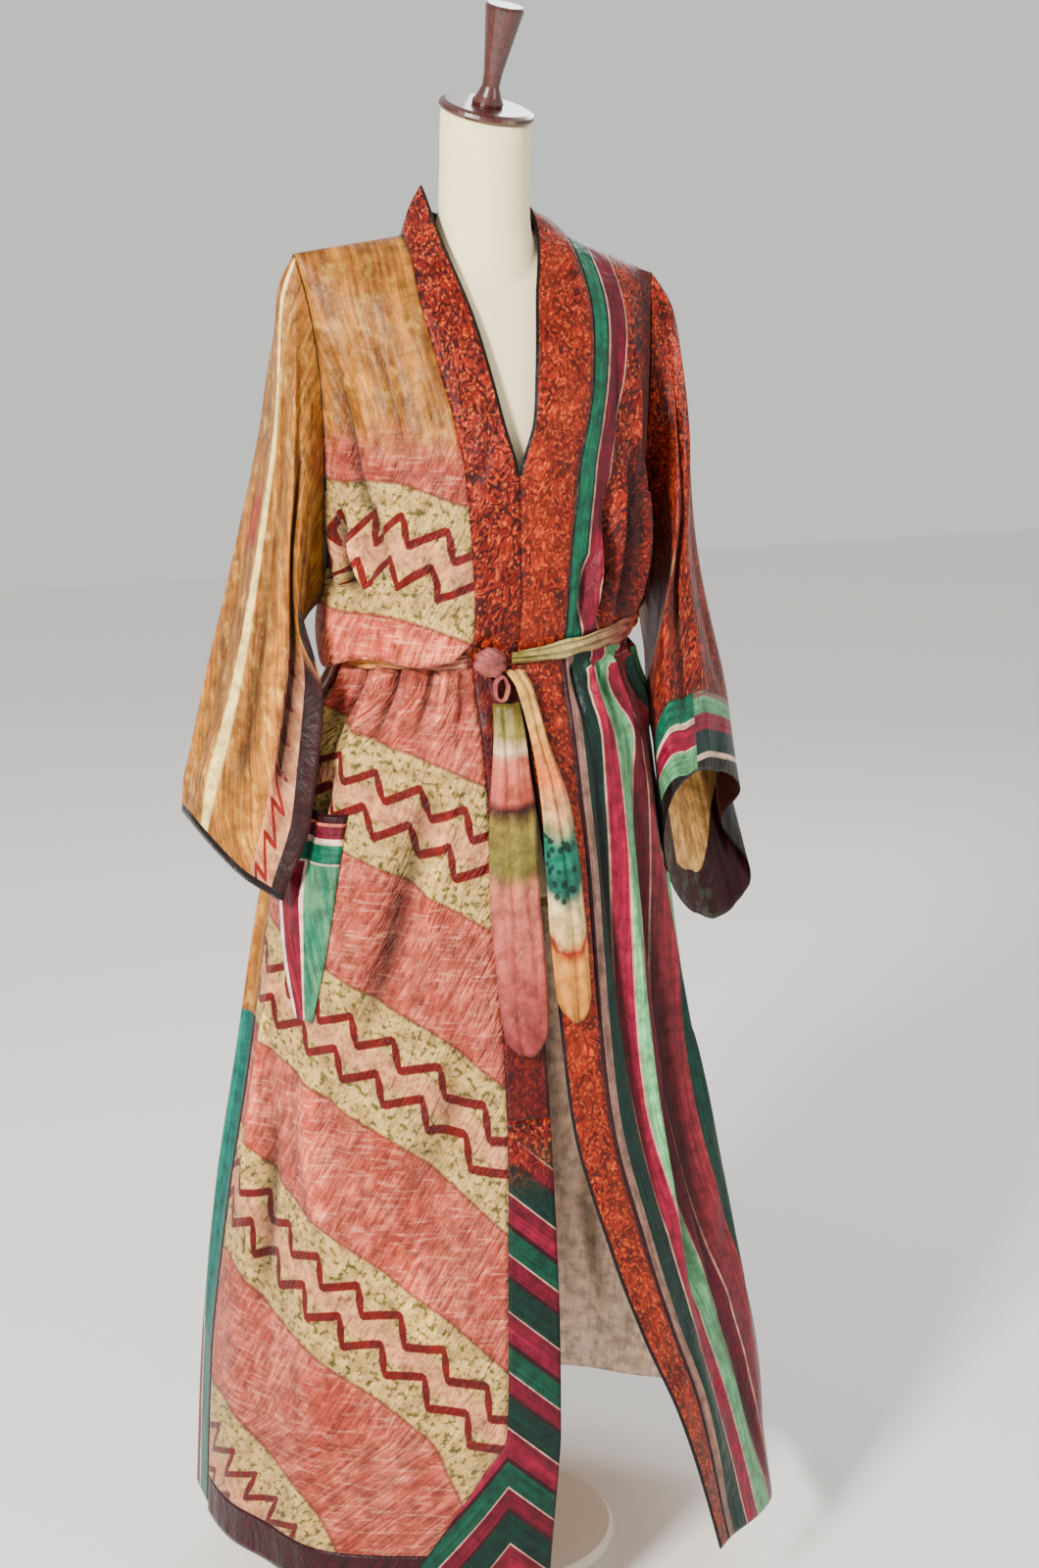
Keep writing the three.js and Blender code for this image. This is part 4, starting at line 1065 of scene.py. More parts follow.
BAND_PITCH, BAND_HALF = 275, 69  # from one zigzag band to the next, and half of one's height
ZIGZAG_PITCH, ZIGZAG_SWING, ZIGZAG_LINE = 43, 13.5, 9.5
ZIGZAG_APART = 22.5  # from a band's middle to each of its two lines
OCHRE_FROM, OCHRE_FULL = 1.185, 1.235  # heights in metres where the bodice turns to ochre


def rose_front():
    """The right front: bands of zigzag lines on cream between rose areas, and ochre above."""
    g = Graph("rose_front")
    across = g.attribute("cut")[0]
    phase, height, _ = g.attribute("place")
    flat = g.vector(across, height)
    v = g.mul(g.sub(phase, g.math("ROUND", phase)), BAND_PITCH * MM)
    crossways = g.add(g.mul(across, 0.87), g.mul(height, 0.5))
    lengthways = g.sub(g.mul(height, 0.87), g.mul(across, 0.5))
    run = g.streaks(lengthways, crossways, 210.0, 34.0)
    rose = g.blend(g.spots(flat, 14.0), rgb(190, 96, 82), rgb(224, 142, 120))
    rose = g.blend(g.mul(run, 0.8), rose, rgb(140, 58, 46))
    level = g.streaks(across, height, 260.0, 30.0)
    rose = g.blend(g.mul(g.between(level, 0.6, 1.0), 0.4), rose, rgb(240, 184, 156))
    ground = g.blend(g.spots(flat, 140.0, 0.5, 0.62), rgb(210, 180, 124), rgb(116, 108, 54))
    ground = g.blend(g.mul(g.spots(flat, 60.0, 0.45, 0.7), 0.5), ground, rgb(188, 150, 96))
    pinkish = g.less(g.between(g.size(v), 8 * MM, 26 * MM))
    ground = g.blend(g.mul(pinkish, 0.6), ground, rgb(222, 150, 126))
    lines = 0.0
    for middle, shift in ((ZIGZAG_APART, 0.0), (-ZIGZAG_APART, 0.45 * ZIGZAG_PITCH)):
        x, y = g.add(across, shift * MM), g.sub(v, middle * MM)
        line = zigzag(g, x, y, ZIGZAG_PITCH * MM, ZIGZAG_SWING * MM, ZIGZAG_LINE * MM)
        lines = g.math("MAXIMUM", line, lines)
    band = g.blend(lines, ground, rgb(120, 25, 15))
    shade = g.blend(g.below(g.size(v), BAND_HALF * MM), rose, band)
    rim = g.less(g.between(g.size(g.sub(g.size(v), BAND_HALF * MM)), 1 * MM, 3 * MM))
    shade = g.blend(g.mul(rim, 0.6), shade, rgb(120, 60, 44))
    wavy = g.add(height, g.mul(g.sub(g.noise(flat, 14.0), 0.5), 0.05))
    upper = g.between(wavy, OCHRE_FROM, OCHRE_FULL)
    shade = g.blend(upper, shade, ochre(g, across, height))
    return g.silk(shade, relief=1.1, ridges=g.mul(g.mul(run, 0.35), g.less(upper)))


# The left front's stripes below and above the belt: (start across it in millimetres, colour).
LEFT_STRIPES = [
    (0, MAROON_DARK), (3, TAUPE), (12, THIN), (14, GREEN_DARK), (36, THIN), (38, MAGENTA),
    (58, THIN), (60, GREEN_LIGHT), (88, THIN), (90, MAROON), (112, THIN), (114, rgb(126, 50, 62)),
    (150, GREEN_DARK), (180, THIN), (184, MAGENTA), (215, GREEN_LIGHT), (245, MAROON),
    (280, TAUPE), (330, GREEN_DARK),
]
LEFT_UPPER = [
    (0, INK), (2, GREEN), (17, GREEN_DARK), (19, THIN), (22, MAROON), (43, THIN), (46, RUST),
]
LEFT_LENGTH, PAISLEY_FROM = 600, 46


def striped_front():
    """The left front: stripes below the belt, and above it three stripes beside paisley."""
    g = Graph("striped_front")
    across = g.attribute("cut")[0]
    height = g.attribute("place")[1]
    lower = stripes(g, across, LEFT_STRIPES, LEFT_LENGTH, height)
    upper = stripes(g, across, LEFT_UPPER, LEFT_LENGTH, height)
    outer = g.mul(g.between(across, 0.05, 0.1), 0.62)
    leafy = g.blend(outer, paisley(g, across, height), rgb(64, 14, 26))
    upper = g.blend(g.above(across, PAISLEY_FROM * MM), upper, leafy)
    return g.silk(g.blend(g.above(height, WAIST_Z * MM), lower, upper))


PLAIN_LENGTH = 400  # a repeat longer than the piece, so that its stripes come once
SIDE_STRIPES, SIDE_STRIPES_TOP = 92, 0.62  # their width in millimetres and top in metres


def ochre_back():
    """The back: ochre, with stripes low down along its two side edges."""
    g = Graph("ochre_back")
    across = g.attribute("cut")[0]
    from_side, height, _ = g.attribute("place")
    rows = [(0, MAROON_DARK), (6, rgb(22, 112, 104)), (34, PALE), (36, MAROON), (60, PALE),
            (62, GREEN_DARK), (90, GOLD)]
    side = stripes(g, from_side, rows, PLAIN_LENGTH, height)
    low = g.mul(g.below(from_side, SIDE_STRIPES * MM), g.below(height, SIDE_STRIPES_TOP))
    return g.silk(g.blend(low, ochre(g, across, height), side))


BANDS_MEET = (0.97, 1.18)  # between these heights in metres the two neckbands lie edge to edge


def paisley_silk(name, warm=0.0, edge=True, shade_below=0.0):
    """Paisley with warmer patches, a dark free edge where the bands lie apart, and painted shade
    below a height in metres."""
    g = Graph(name)
    across, down, _ = g.attribute("cut")
    height = g.attribute("place")[1]
    shade = paisley(g, across, down)
    if warm:
        patches = g.spots(g.vector(across, down), 18.0)
        shade = g.blend(g.mul(patches, warm), shade, rgb(214, 98, 46))
    if edge:
        apart = g.math("MAXIMUM", g.above(height, BANDS_MEET[1]), g.below(height, BANDS_MEET[0]))
        shade = g.blend(g.mul(g.below(across, 3 * MM), apart), shade, INK)
    # Painted shade: below this height the paisley is darkened to maroon.
    if shade_below:
        low = g.less(g.between(height, shade_below - 0.02, shade_below))
        shade = g.blend(g.mul(low, 0.72), shade, rgb(84, 16, 28))
    return g.silk(shade, 0.5)


EDGE_STRIPES = [
    (0, GREEN_DARK), (33, MAROON_DARK), (37, rgb(112, 18, 50)), (58, THIN), (60, rgb(14, 84, 68)),
    (86, MAROON_DARK), (92, rgb(138, 26, 66)), (108, MAROON), (122, THIN),
]
EDGE_STRIPES_LENGTH = 124
MITRE_X = -0.061  # in metres
EDGE_PAISLEY = (0.47, 0.55)  # between these heights in metres the paisley above fades out


def edge_band_silk():
    """Slanting stripes down the band, which turn the corner of the hem on a mitre."""
    g = Graph("edge_band_silk")
    x, z, _ = g.attribute("place")
    right_of = g.math("MULTIPLY_ADD", g.sub(x, MITRE_X), 0.9, z)
    left_of = g.math("MULTIPLY_ADD", g.sub(MITRE_X, x), 1.2, z)
    chosen = g.blend(g.above(x, MITRE_X), g.vector(left_of), g.vector(right_of))
    place = g.node("ShaderNodeSeparateXYZ", {0: chosen}).outputs[0]
    shade = stripes(g, place, EDGE_STRIPES, EDGE_STRIPES_LENGTH, x)
    return g.silk(g.blend(g.between(z, *EDGE_PAISLEY), shade, paisley(g, x, z)))


def plain_silk(name, base, dark):
    """A plain piece with the drawn-out tones of its weave."""
    g = Graph(name)
    across, down, _ = g.attribute("cut")
    flat = g.vector(across, down)
    shade = g.blend(g.streaks(down, across, 240.0, 14.0), base, dark)
    return g.silk(g.blend(g.mul(g.spots(flat, 30.0), 0.4), shade, dark), 0.45)


def right_sleeve_silk():
    """Gold, with a pinkish strip of zigzags, painted shade along its side towards the body, a small
    rust patch and a painted highlight along the fold down its outer side."""
    g = Graph("right_sleeve_silk")
    across, down, _ = g.attribute("cut")
    w, t, _ = g.attribute("place")
    gold = ochre(g, across, down)
    lower = g.between(t, 0.48, 0.56)
    inner = g.mul(g.mul(g.above(w, 0.36), g.below(w, 0.8)), lower)
    beige = g.blend(g.spots(g.vector(across, down), 60.0), rgb(206, 158, 122), rgb(176, 118, 92))
    line = zigzag(g, down, g.mul(g.sub(w, 0.41), 0.3), 34 * MM, 8 * MM, 6 * MM)
    beige = g.blend(line, beige, rgb(140, 40, 24))
    shade = g.blend(inner, gold, beige)
    # Painted shade: the lower part of the side towards the body is darkened.
    medial_shade = g.mul(g.mul(g.above(w, 0.47), g.below(w, 0.85)), lower)
    shade = g.blend(medial_shade, shade, rgb(52, 16, 20))
    patch = g.less(g.between(g.size(g.sub(t, 0.45)), 0.02, 0.05))
    patch = g.mul(patch, g.below(g.size(g.add(w, 0.06)), 0.08))
    shade = g.blend(g.mul(patch, 0.8), shade, RUST)
    # Painted highlight: a pale line along the outer fold.
    fold = g.less(g.between(g.size(g.sub(w, 0.1)), 0.012, 0.03))
    shade = g.blend(g.mul(fold, 0.75), shade, rgb(255, 238, 170))
    return g.silk(g.blend(g.above(t, 0.985), shade, INK))


def cuff_silk():
    """The left cuff: stripes down it in two halves that meet at its middle."""
    g = Graph("cuff_silk")
    across, down, _ = g.attribute("cut")
    w = g.attribute("place")[0]
    first = [(0, GREEN), (24, PALE), (30, MAGENTA), (52, PALE), (54, GREEN_LIGHT), (78, INK)]
    second = [(0, TAUPE), (5, GREEN_LIGHT), (22, MAGENTA), (40, rgb(16, 66, 62)), (64, PALE),
              (70, INK)]
    left = stripes(g, down, first, PLAIN_LENGTH, across)
    right = stripes(g, down, second, PLAIN_LENGTH, across)
    return g.silk(g.blend(g.above(w, 0.33), right, left))


def cuff_lining():
    """Tan silk with a dark facing along the cuff, maroon with worn grey-green spots."""
    g = Graph("cuff_lining")
    across, down, _ = g.attribute("cut")
    w, t, _ = g.attribute("place")
    tan = g.blend(g.streaks(down, across, 200.0, 20.0), rgb(248, 210, 146), rgb(206, 150, 92))
    worn = g.spots(g.vector(across, down), 42.0, 0.45, 0.6)
    spotted = g.mul(g.between(g.size(w), 0.62, 0.8), worn)
    facing = g.blend(spotted, rgb(74, 16, 30), rgb(88, 90, 76))
    start = g.math("MULTIPLY_ADD", g.between(w, -0.85, -0.4), -0.09, 0.945)
    return g.silk(g.blend(g.above(t, start), tan, facing))


POCKET_TOP_STRIPES = 52


def pocket_silk():
    """A crimson pocket: stripes along its top, a painted highlight along its outer edge and a green
    inner half.
    """
    g = Graph("pocket_silk")
    across, down, _ = g.attribute("cut")
    k = g.attribute("place")[0]
    body = g.blend(g.streaks(down, across, 200.0, 20.0), rgb(150, 30, 66), rgb(104, 18, 44))
    green = g.blend(g.streaks(down, across, 200.0, 20.0), rgb(28, 118, 96), rgb(110, 150, 116))
    shade = g.blend(g.above(k, 0.58), body, green)
    shade = g.blend(g.mul(g.above(k, 0.52), g.below(k, 0.58)), shade, PALE)
    # Painted highlight: the outer edge, where a fold crosses it, is made near white.
    shade = g.blend(g.below(k, 0.14), shade, rgb(232, 220, 210))
    rows = [(0, MAROON_DARK), (8, PINK), (11, MAROON), (25, PALE), (30, GREEN), (50, PALE),
            (POCKET_TOP_STRIPES, MAROON)]
    top = stripes(g, down, rows, PLAIN_LENGTH, across)
    return g.silk(g.blend(g.below(down, POCKET_TOP_STRIPES * MM), shade, top))


# Colours along the belt and its two tails: (share of the length, colour).
BELT_ROUND = [
    (0.0, rgb(196, 140, 120)), (0.05, rgb(176, 120, 104)), (0.12, rgb(214, 160, 92)),
    (0.2, rgb(198, 120, 60)), (0.3, rgb(160, 96, 76)), (0.55, rgb(170, 120, 96)),
    (0.62, rgb(216, 170, 96)), (0.7, rgb(220, 150, 74)), (0.78, rgb(196, 84, 44)),
    (0.86, rgb(160, 100, 92)), (0.94, rgb(196, 184, 130)), (1.0, rgb(150, 140, 80)),
]
TAIL_ONE = [
    (0.0, rgb(128, 118, 58)), (0.09, rgb(160, 146, 84)), (0.13, rgb(232, 206, 176)),
    (0.16, rgb(214, 132, 112)), (0.27, rgb(196, 108, 92)), (0.3, rgb(72, 30, 28)),
    (0.35, rgb(150, 138, 76)), (0.48, rgb(132, 124, 66)), (0.54, rgb(204, 128, 112)),
    (0.75, rgb(190, 108, 100)), (1.0, rgb(150, 72, 74)),
]
TAIL_TWO = [
    (0.0, rgb(214, 172, 104)), (0.15, rgb(224, 176, 104)), (0.3, rgb(226, 140, 84)),
    (0.42, rgb(228, 186, 140)), (0.5, rgb(20, 136, 112)), (0.64, rgb(16, 112, 96)),
    (0.68, rgb(228, 206, 160)), (0.78, rgb(224, 188, 132)), (0.81, rgb(160, 52, 30)),
    (0.84, rgb(218, 160, 82)), (1.0, rgb(198, 140, 66)),
]


def belt_silk(name, stops, spotted=None):
    """Belt silk whose colours change along its length, with dark spots between two shares."""
    g = Graph(name)
    across, down, _ = g.attribute("cut")
    along, side, _ = g.attribute("place")
    flat = g.vector(across, down)
    wobble = g.mul(g.sub(g.noise(flat, 40.0), 0.5), 0.05)
    shade = g.ramp(g.add(along, wobble), stops)
    shade = g.blend(g.mul(g.streaks(side, along, 14.0, 3.0), 0.25), shade, rgb(92, 54, 40))
    if spotted is not None:
        low, high = spotted
        spots = g.less(g.between(g.voronoi(flat, 90.0), 0.3, 0.42))
        inside = g.mul(g.above(along, low), g.below(along, high))
        shade = g.blend(g.mul(g.mul(spots, inside), 0.8), shade, rgb(10, 40, 44))
    return g.silk(shade, 0.4)


def linen():
    """The form's pale cover, with threads both ways."""
    g = Graph("form_linen")
    place = g.object_place()
    threads = g.noise(g.vectors("MULTIPLY", place, (1, 1, 6)), 420.0, 2.0)
    cross = g.noise(g.vectors("MULTIPLY", place, (6, 6, 1)), 420.0, 2.0)
    weave = g.mul(g.add(threads, cross), 0.5)
    shade = g.blend(g.between(weave, 0.35, 0.65), rgb(236, 214, 164), rgb(252, 238, 198))
    bumps = g.node("ShaderNodeBump", {"Height": weave, "Strength": 0.5, "Distance": 0.0012})
    return g.surface(Base_Color=shade, Roughness=0.9, Sheen_Weight=0.2, Normal=bumps.outputs[0])


def hard(name, colour, roughness, coat=0.0, grain=None):
    """Wood with its grain, or paint in one colour, with a faint unevenness."""
    g = Graph(name)
    drawn = g.noise(g.vectors("MULTIPLY", g.object_place(), (8, 8, 1)), 40.0, 4.0, 0.6, 0.6)
    shade = g.blend(g.between(drawn, 0.35, 0.65), colour, grain) if grain else colour
    uneven = g.node("ShaderNodeBump", {"Height": drawn, "Strength": 0.12, "Distance": 0.001})
    gloss = g.math("MULTIPLY_ADD", drawn, 0.12, roughness)
    return g.surface(Base_Color=shade, Roughness=gloss, Coat_Weight=coat, Normal=uneven.outputs[0])


LINING = plain_silk("lining", rgb(254, 240, 228), rgb(240, 214, 196))
SLEEVE_LINING = plain_silk("sleeve_lining", rgb(246, 206, 140), rgb(196, 138, 80))
DARK_LINING = plain_silk("right_sleeve_lining", rgb(60, 24, 22), rgb(24, 8, 8))
DARK_FACING = plain_silk("dark_facing", rgb(74, 22, 30), rgb(36, 8, 14))
HEM_SILK = plain_silk("hem_silk", rgb(88, 22, 40), rgb(46, 10, 20))
WOOD = hard("dark_wood", rgb(78, 24, 16), 0.28, 0.5, rgb(44, 12, 9))
BARE_WOOD = hard("bare_wood", rgb(196, 172, 136), 0.6, 0.0, rgb(168, 142, 104))
ENAMEL = hard("pale_enamel", rgb(232, 226, 212), 0.4)
LINEN = linen()

# ---------- Fronts and back ----------
HALF = SEAM / 2
PANEL_COLUMNS = 92
# Centres of the zigzag bands on the right front by distance from its inner seam, top band first.
BANDS = table("arc b0 b1 b2 b3 b4 b5", """
0   1350 1085 814 512 232 -30
75  1370 1108 848 580 300 30
150 1380 1100 874 620 355 90
340 1400 1100 930 690 447 148
""")


def panel_rows(top, bottom):
    """Stations down a panel, closest together just above the belt."""
    chest = np.arange(0, 1, 0.016)
    steps = [np.arange(BUST_Z, 1070, -5), np.arange(1070, 994, -2.5), np.arange(994, 60, -5)]
    every = np.concatenate([chest, station_at(np.concatenate(steps))])
    inner = every[(every > top + 0.002) & (every < bottom - 0.002)]
    return np.concatenate([[top], inner, [bottom]])


def band_phase(arc, z):
    """Which band a point is in: a whole number on the centre of each."""
    centres = np.stack([column(BANDS, f"b{k}", "arc")(arc) for k in range(6)], -1)
    low = np.clip(np.sum(z[..., None] < centres, axis=-1) - 1, 0, 4)
    top = np.take_along_axis(centres, low[..., None], -1)[..., 0]
    bottom = np.take_along_axis(centres, low[..., None] + 1, -1)[..., 0]
    return low + (top - z) / (top - bottom)


def front(side, node, hem, materials):
    us, rows = np.linspace(0, 1, PANEL_COLUMNS), panel_rows(0, station_at(hem))
    points = trimmed(grid(front_surface(side), us, rows), HALF, HALF, HALF)
    depth = relief(points, grid(front_surface(side, False), us, rows))
    arc, z = arc_lengths(points, 1), points[..., 2]
    phase = band_phase(arc, z) if side < 0 else 0 * arc
    cloth(node, points, materials, places=(phase, z * MM, depth))


front(-1, "right_front", HEM_RIGHT, [rose_front(), LINING])
front(1, "left_front", HEM_LEFT, [striped_front(), LINING])


def back_surface(creased):
    return lambda u, s: drape(np.where(u < 0, -1, 1), 1, np.abs(u) * side_psi(s), s, creased)


back_us, back_rows = np.linspace(-1, 1, 133), panel_rows(0, station_at(HEM_BACK))
back_points = trimmed(grid(back_surface(True), back_us, back_rows), HALF, HALF, HALF)
back_depth = relief(back_points, grid(back_surface(False), back_us, back_rows))
back_arc = arc_lengths(back_points, 1)
from_side = np.minimum(back_arc, back_arc[:, -1:] - back_arc)
back_places = (from_side * MM, back_points[..., 2] * MM, back_depth)
cloth("back", back_points, [ochre_back(), LINING], places=back_places)

# ---------- Bands ----------
BAND_THICK = 2  # a band is folded double


def neckband(side, node, end, material):
    """Half of the neckband, from the back of the neck down its front to a height."""
    rows = np.concatenate([np.linspace(-1, -0.03, 34), panel_rows(0, station_at(end))])
    points = trimmed(grid(band_surface(side), np.linspace(0, 1, 16), rows), right=HALF, top=HALF)
    places = (0.0, points[..., 2] * MM, 0.0)
    cloth(node, points, [material, DARK_FACING], thick=BAND_THICK, places=places)


# The right band has painted shade below the belt.
shaded_below_belt = paisley_silk("paisley_right", shade_below=(WAIST_Z - 5) * MM)
neckband(-1, "neckband_right", BAND_END_Z, shaded_below_belt)
neckband(1, "neckband_left", HEM_LEFT, paisley_silk("paisley_left", 0.25))


def edge_band_surface(u, s):
    return drape(-1, -1, mix(front_psi(-1, "edge", s), front_psi(-1, "seam", s), u), s)


edge_rows = panel_rows(station_at(BAND_END_Z), station_at(HEM_BAND))
edge_points = grid(edge_band_surface, np.linspace(0, 1, 30), edge_rows)
edge_points = trimmed(edge_points, right=HALF, top=HALF)
cloth(
    "right_edge_band", edge_points, [edge_band_silk(), DARK_FACING], thick=BAND_THICK,
    places=(edge_points[..., 0] * MM, edge_points[..., 2] * MM, 0.0),
)


def hem_band_surface(u, s):
    return drape(-1, -1, mix(front_psi(-1, "seam", s), 90, u), s)


hem_rows = panel_rows(station_at(HEM_RIGHT), station_at(HEM_BAND))
hem_points = grid(hem_band_surface, np.linspace(0, 1, PANEL_COLUMNS), hem_rows)
hem_points = trimmed(hem_points, HALF, HALF, HALF)
cloth("right_hem_band", hem_points, [HEM_SILK, DARK_FACING], thick=BAND_THICK)


# ---------- Sleeves ----------
SLEEVE_COLUMNS, SLEEVE_ROWS = 120, 125
ARMHOLE_GAP = 2.5 * SEAM


def closed_steps(start, end, count):
    """Even steps round a closed loop, without its end, which is its start again."""
    return np.linspace(start, end, count + 1)[:-1]


def sleeve(side, node, start, end, materials, top=HALF, bottom=HALF):
    """The tube of a sleeve between two shares of its length."""
    ws = closed_steps(-1, 1, SLEEVE_COLUMNS)
    ts = np.linspace(start, end, round((end - start) * SLEEVE_ROWS))
    points = trimmed(grid(sleeve_surface(side), ws, ts), top=top, bottom=bottom)
    plain = grid(sleeve_surface(side, 0), ws, ts)
    depth = relief(points, plain, plain[..., :2].mean(axis=1, keepdims=True))
    w, t = np.meshgrid(ws, ts)
    cloth(node, points, materials, True, row_middle(points), places=(w, t, depth))


sleeve(-1, "right_sleeve", 0, 1, [right_sleeve_silk(), DARK_LINING], ARMHOLE_GAP, 0)
left_materials = [paisley_silk("sleeve_paisley", edge=False), SLEEVE_LINING]
sleeve(1, "left_sleeve", 0, CUFF_START, left_materials, ARMHOLE_GAP)
sleeve(1, "left_sleeve_cuff", CUFF_START, 1, [cuff_silk(), cuff_lining()], HALF, 0)

# ---------- Pocket ----------
POCKET = table("z outer inner gape", """
850 0.92 0.55 15
790 0.91 0.56 9
720 0.84 0.58 4
640 0.72 0.63 0.5
""")
POCKET_RISE = 2.2  # from the panel's outer face to its own


def pocket_surface(k, z):
    """k runs across the pocket from its outer edge (0) to its inner edge (1)."""
    s = station_at(z)
    u = mix(column(POCKET, "outer")(z), column(POCKET, "inner")(z), k)
    psi = mix(front_psi(-1, "seam", s), 90, u)
    gape = column(POCKET, "gape")(z) * np.sin(np.pi * np.clip(k, 0, 1)) ** 0.7
    folds = 2.2 * np.sin(k * 15 + 1) * bump(z - 800, 60) * np.sin(np.pi * np.clip(k, 0, 1))
    out = POCKET_RISE + gape + folds
    way = np.stack([-np.sin(psi * RAD) * out, -np.cos(psi * RAD) * out, 0 * out], -1)
    return drape(-1, -1, psi, s) + way


pocket_ks = np.linspace(0, 1, 45)
pocket_zs = np.linspace(POCKET[0]["z"], POCKET[-1]["z"], 50)
pocket_points = grid(pocket_surface, pocket_ks, pocket_zs)
pocket_k, pocket_z = np.meshgrid(pocket_ks, pocket_zs)
pocket_places = (pocket_k, pocket_z * MM, 0.0)
cloth("pocket", pocket_points, [pocket_silk(), DARK_FACING], places=pocket_places)

# ---------- Belt ----------
BELT_HALF = 14  # half its width where it lies open
BELT_OUT, BELT_CROWN = 4.6, 2.2  # its distance from the cloth, and more of it in its middle
BELT_THICK, TAIL_THICK = 1.8, 2.6  # folded double, and the tails more
KNOT_TURN, KNOT_HALF, KNOT_RISE = -14, (17, 10, 15), 2
BELT_GAP_DEG = 8  # between the knot's middle and the end of each stretch
BELT_NARROWS_DEG = 42  # over this many degrees the belt is drawn together towards the knot
BELT_CLIMB = 16  # how far it climbs round the wearer's left
PLEAT_SHADE = 2.6  # the small pleats are shaded as if they were this much deeper


def around(turn, z, out):
    """A point of the smooth drape all round, moved out by out millimetres."""
    wrapped = (turn + 180) % 360 - 180
    side = np.where(wrapped < 0, -1, 1)
    face = np.where(np.abs(wrapped) < 90, -1, 1)
    psi = np.where(face < 0, np.abs(wrapped), 180 - np.abs(wrapped))
    point = drape(side, face, psi, station_at(z), creased=False)
    way = np.stack([side * np.sin(psi * RAD), face * np.cos(psi * RAD), 0 * psi], -1)
    return point + way * np.asarray(out)[..., None]


def belt_pleats(turn, v):
    """The belt is drawn together into lengthwise pleats, in millimetres."""
    slow = 1.7 * np.sin(v * 7.5 + 1.6 * np.sin(turn * 0.13) + 0.02 * turn)
    quick = 0.9 * np.sin(v * 15 + 2.2 * np.sin(turn * 0.07 + 1))
    return (slow + quick) * (1 - v**2) ** 0.5


def belt_surface(turn, v):
    """turn runs round the body in degrees, and v across the belt from -1 to 1."""
    narrow = 0.8 + 0.12 * np.sin(turn * 0.16) + 0.06 * np.sin(turn * 0.41 + 2)
    from_knot = np.abs(turn - KNOT_TURN) - BELT_GAP_DEG
    narrow = narrow * mix(0.55, 1, smooth(from_knot / BELT_NARROWS_DEG))
    climb = BELT_CLIMB * np.sin(np.clip((turn - KNOT_TURN) / 180, 0, 1) * np.pi)
    z = WAIST_Z + climb + v * BELT_HALF * narrow
    return around(turn, z, BELT_OUT + BELT_CROWN * (1 - v**2) + belt_pleats(turn, v))


def belt(node, start, end, from_place, to_place):
    """A stretch of the belt between two turns, with the colours between two shares."""
    turns, vs = np.linspace(start, end, 110), np.linspace(-1, 1, 17)
    points = trimmed(grid(belt_surface, turns, vs), HALF, HALF)
    turn, v = np.meshgrid(turns, vs)
    along = mix(from_place, to_place, (turn - start) / (end - start))
    places = (along, v, PLEAT_SHADE * belt_pleats(turn, v))
    cloth(node, points, [BELT_AROUND, DARK_FACING], thick=BELT_THICK, places=places)


BELT_AROUND = belt_silk("belt_around", BELT_ROUND)
belt("belt_right", KNOT_TURN - BELT_GAP_DEG, -180, 0.0, 0.5)
belt("belt_left", 180, KNOT_TURN + BELT_GAP_DEG, 0.5, 1.0)

knot_centre = around(np.float64(KNOT_TURN), np.float64(WAIST_Z), KNOT_HALF[1] + KNOT_RISE)
MAUVE = [(0.0, rgb(176, 112, 108)), (0.5, rgb(158, 92, 94)), (1.0, rgb(186, 128, 112))]
MAUVE_SILK = belt_silk("mauve_belt", MAUVE)
FAR_FROM_EDGE = 20  # a closed piece has no edge with a pressed seam


def round_piece(node, points, hub, ring_rows=False):
    """A closed knot or ring of the belt."""
    obj = grid_object(node + "_cloth", points, True, ring_rows)
    give_cut(obj, points, np.full(points.shape[:2], FAR_FROM_EDGE))
    shares = [np.linspace(0, 1, count) for count in points.shape[:2]]
    v, u = np.meshgrid(*shares, indexing="ij")
    give_vectors(obj, "place", np.stack([v, u, 0 * u], -1))
    stand_for(obj, node, MAUVE_SILK)
    face_outwards(obj, hub)


def knot_surface(u, v):
    """A soft knot: one strand wraps over the front, and its folds run slantwise."""
    a, b = u * 2 * np.pi, v * np.pi
    x, y, z = np.sin(b) * np.cos(a), np.sin(b) * np.sin(a), np.cos(b)
    slant = z * 0.85 + x * 0.5
    folds = 0.07 * np.sin(slant * 9 + 0.6) + 0.035 * np.sin(slant * 19 + x * 3)
    strap = 0.10 * bump(x - 0.15 + 0.4 * z, 0.42)
    grow = 0.94 + (folds + strap) * np.sin(b) ** 0.5
    return knot_centre + np.stack([x, y, z], -1) * KNOT_HALF * grow[..., None]


knot_points = grid(knot_surface, closed_steps(0, 1, 72), np.linspace(0.004, 0.996, 40))
round_piece("belt_knot", knot_points, lambda centre: knot_centre * MM)

LOOP_WIDE, LOOP_TALL, LOOP_RIBBON = 8, 13, 5
LOOP_INWARDS = 1.4  # the ribbon's middle lies this far inside the ring
loop_centre = knot_centre + np.array([10, -4.4, -25.4])


def loop_surface(u, v):
    """A ring of belt cloth: v runs round the ring and u round its thickness."""
    a, b = v * 2 * np.pi, u * 2 * np.pi
    radial = -LOOP_INWARDS + 1.7 * np.cos(b) + 0.3 * np.sin(a * 5 + 1)
    deep = LOOP_RIBBON * 0.94 * np.sin(b)
    x = (LOOP_WIDE + radial) * np.cos(a)
    z = (LOOP_TALL + radial) * np.sin(a)
    return loop_centre + np.stack([x, deep, z], -1)


def loop_hub(centre):
    """The middle of the ribbon at each place round the ring, in metres."""
    off = centre / MM - loop_centre
    a = np.arctan2(off[:, 2] / LOOP_TALL, off[:, 0] / LOOP_WIDE)
    wide, tall = LOOP_WIDE - LOOP_INWARDS, LOOP_TALL - LOOP_INWARDS
    return (loop_centre + np.stack([wide * np.cos(a), 0 * a, tall * np.sin(a)], -1)) * MM


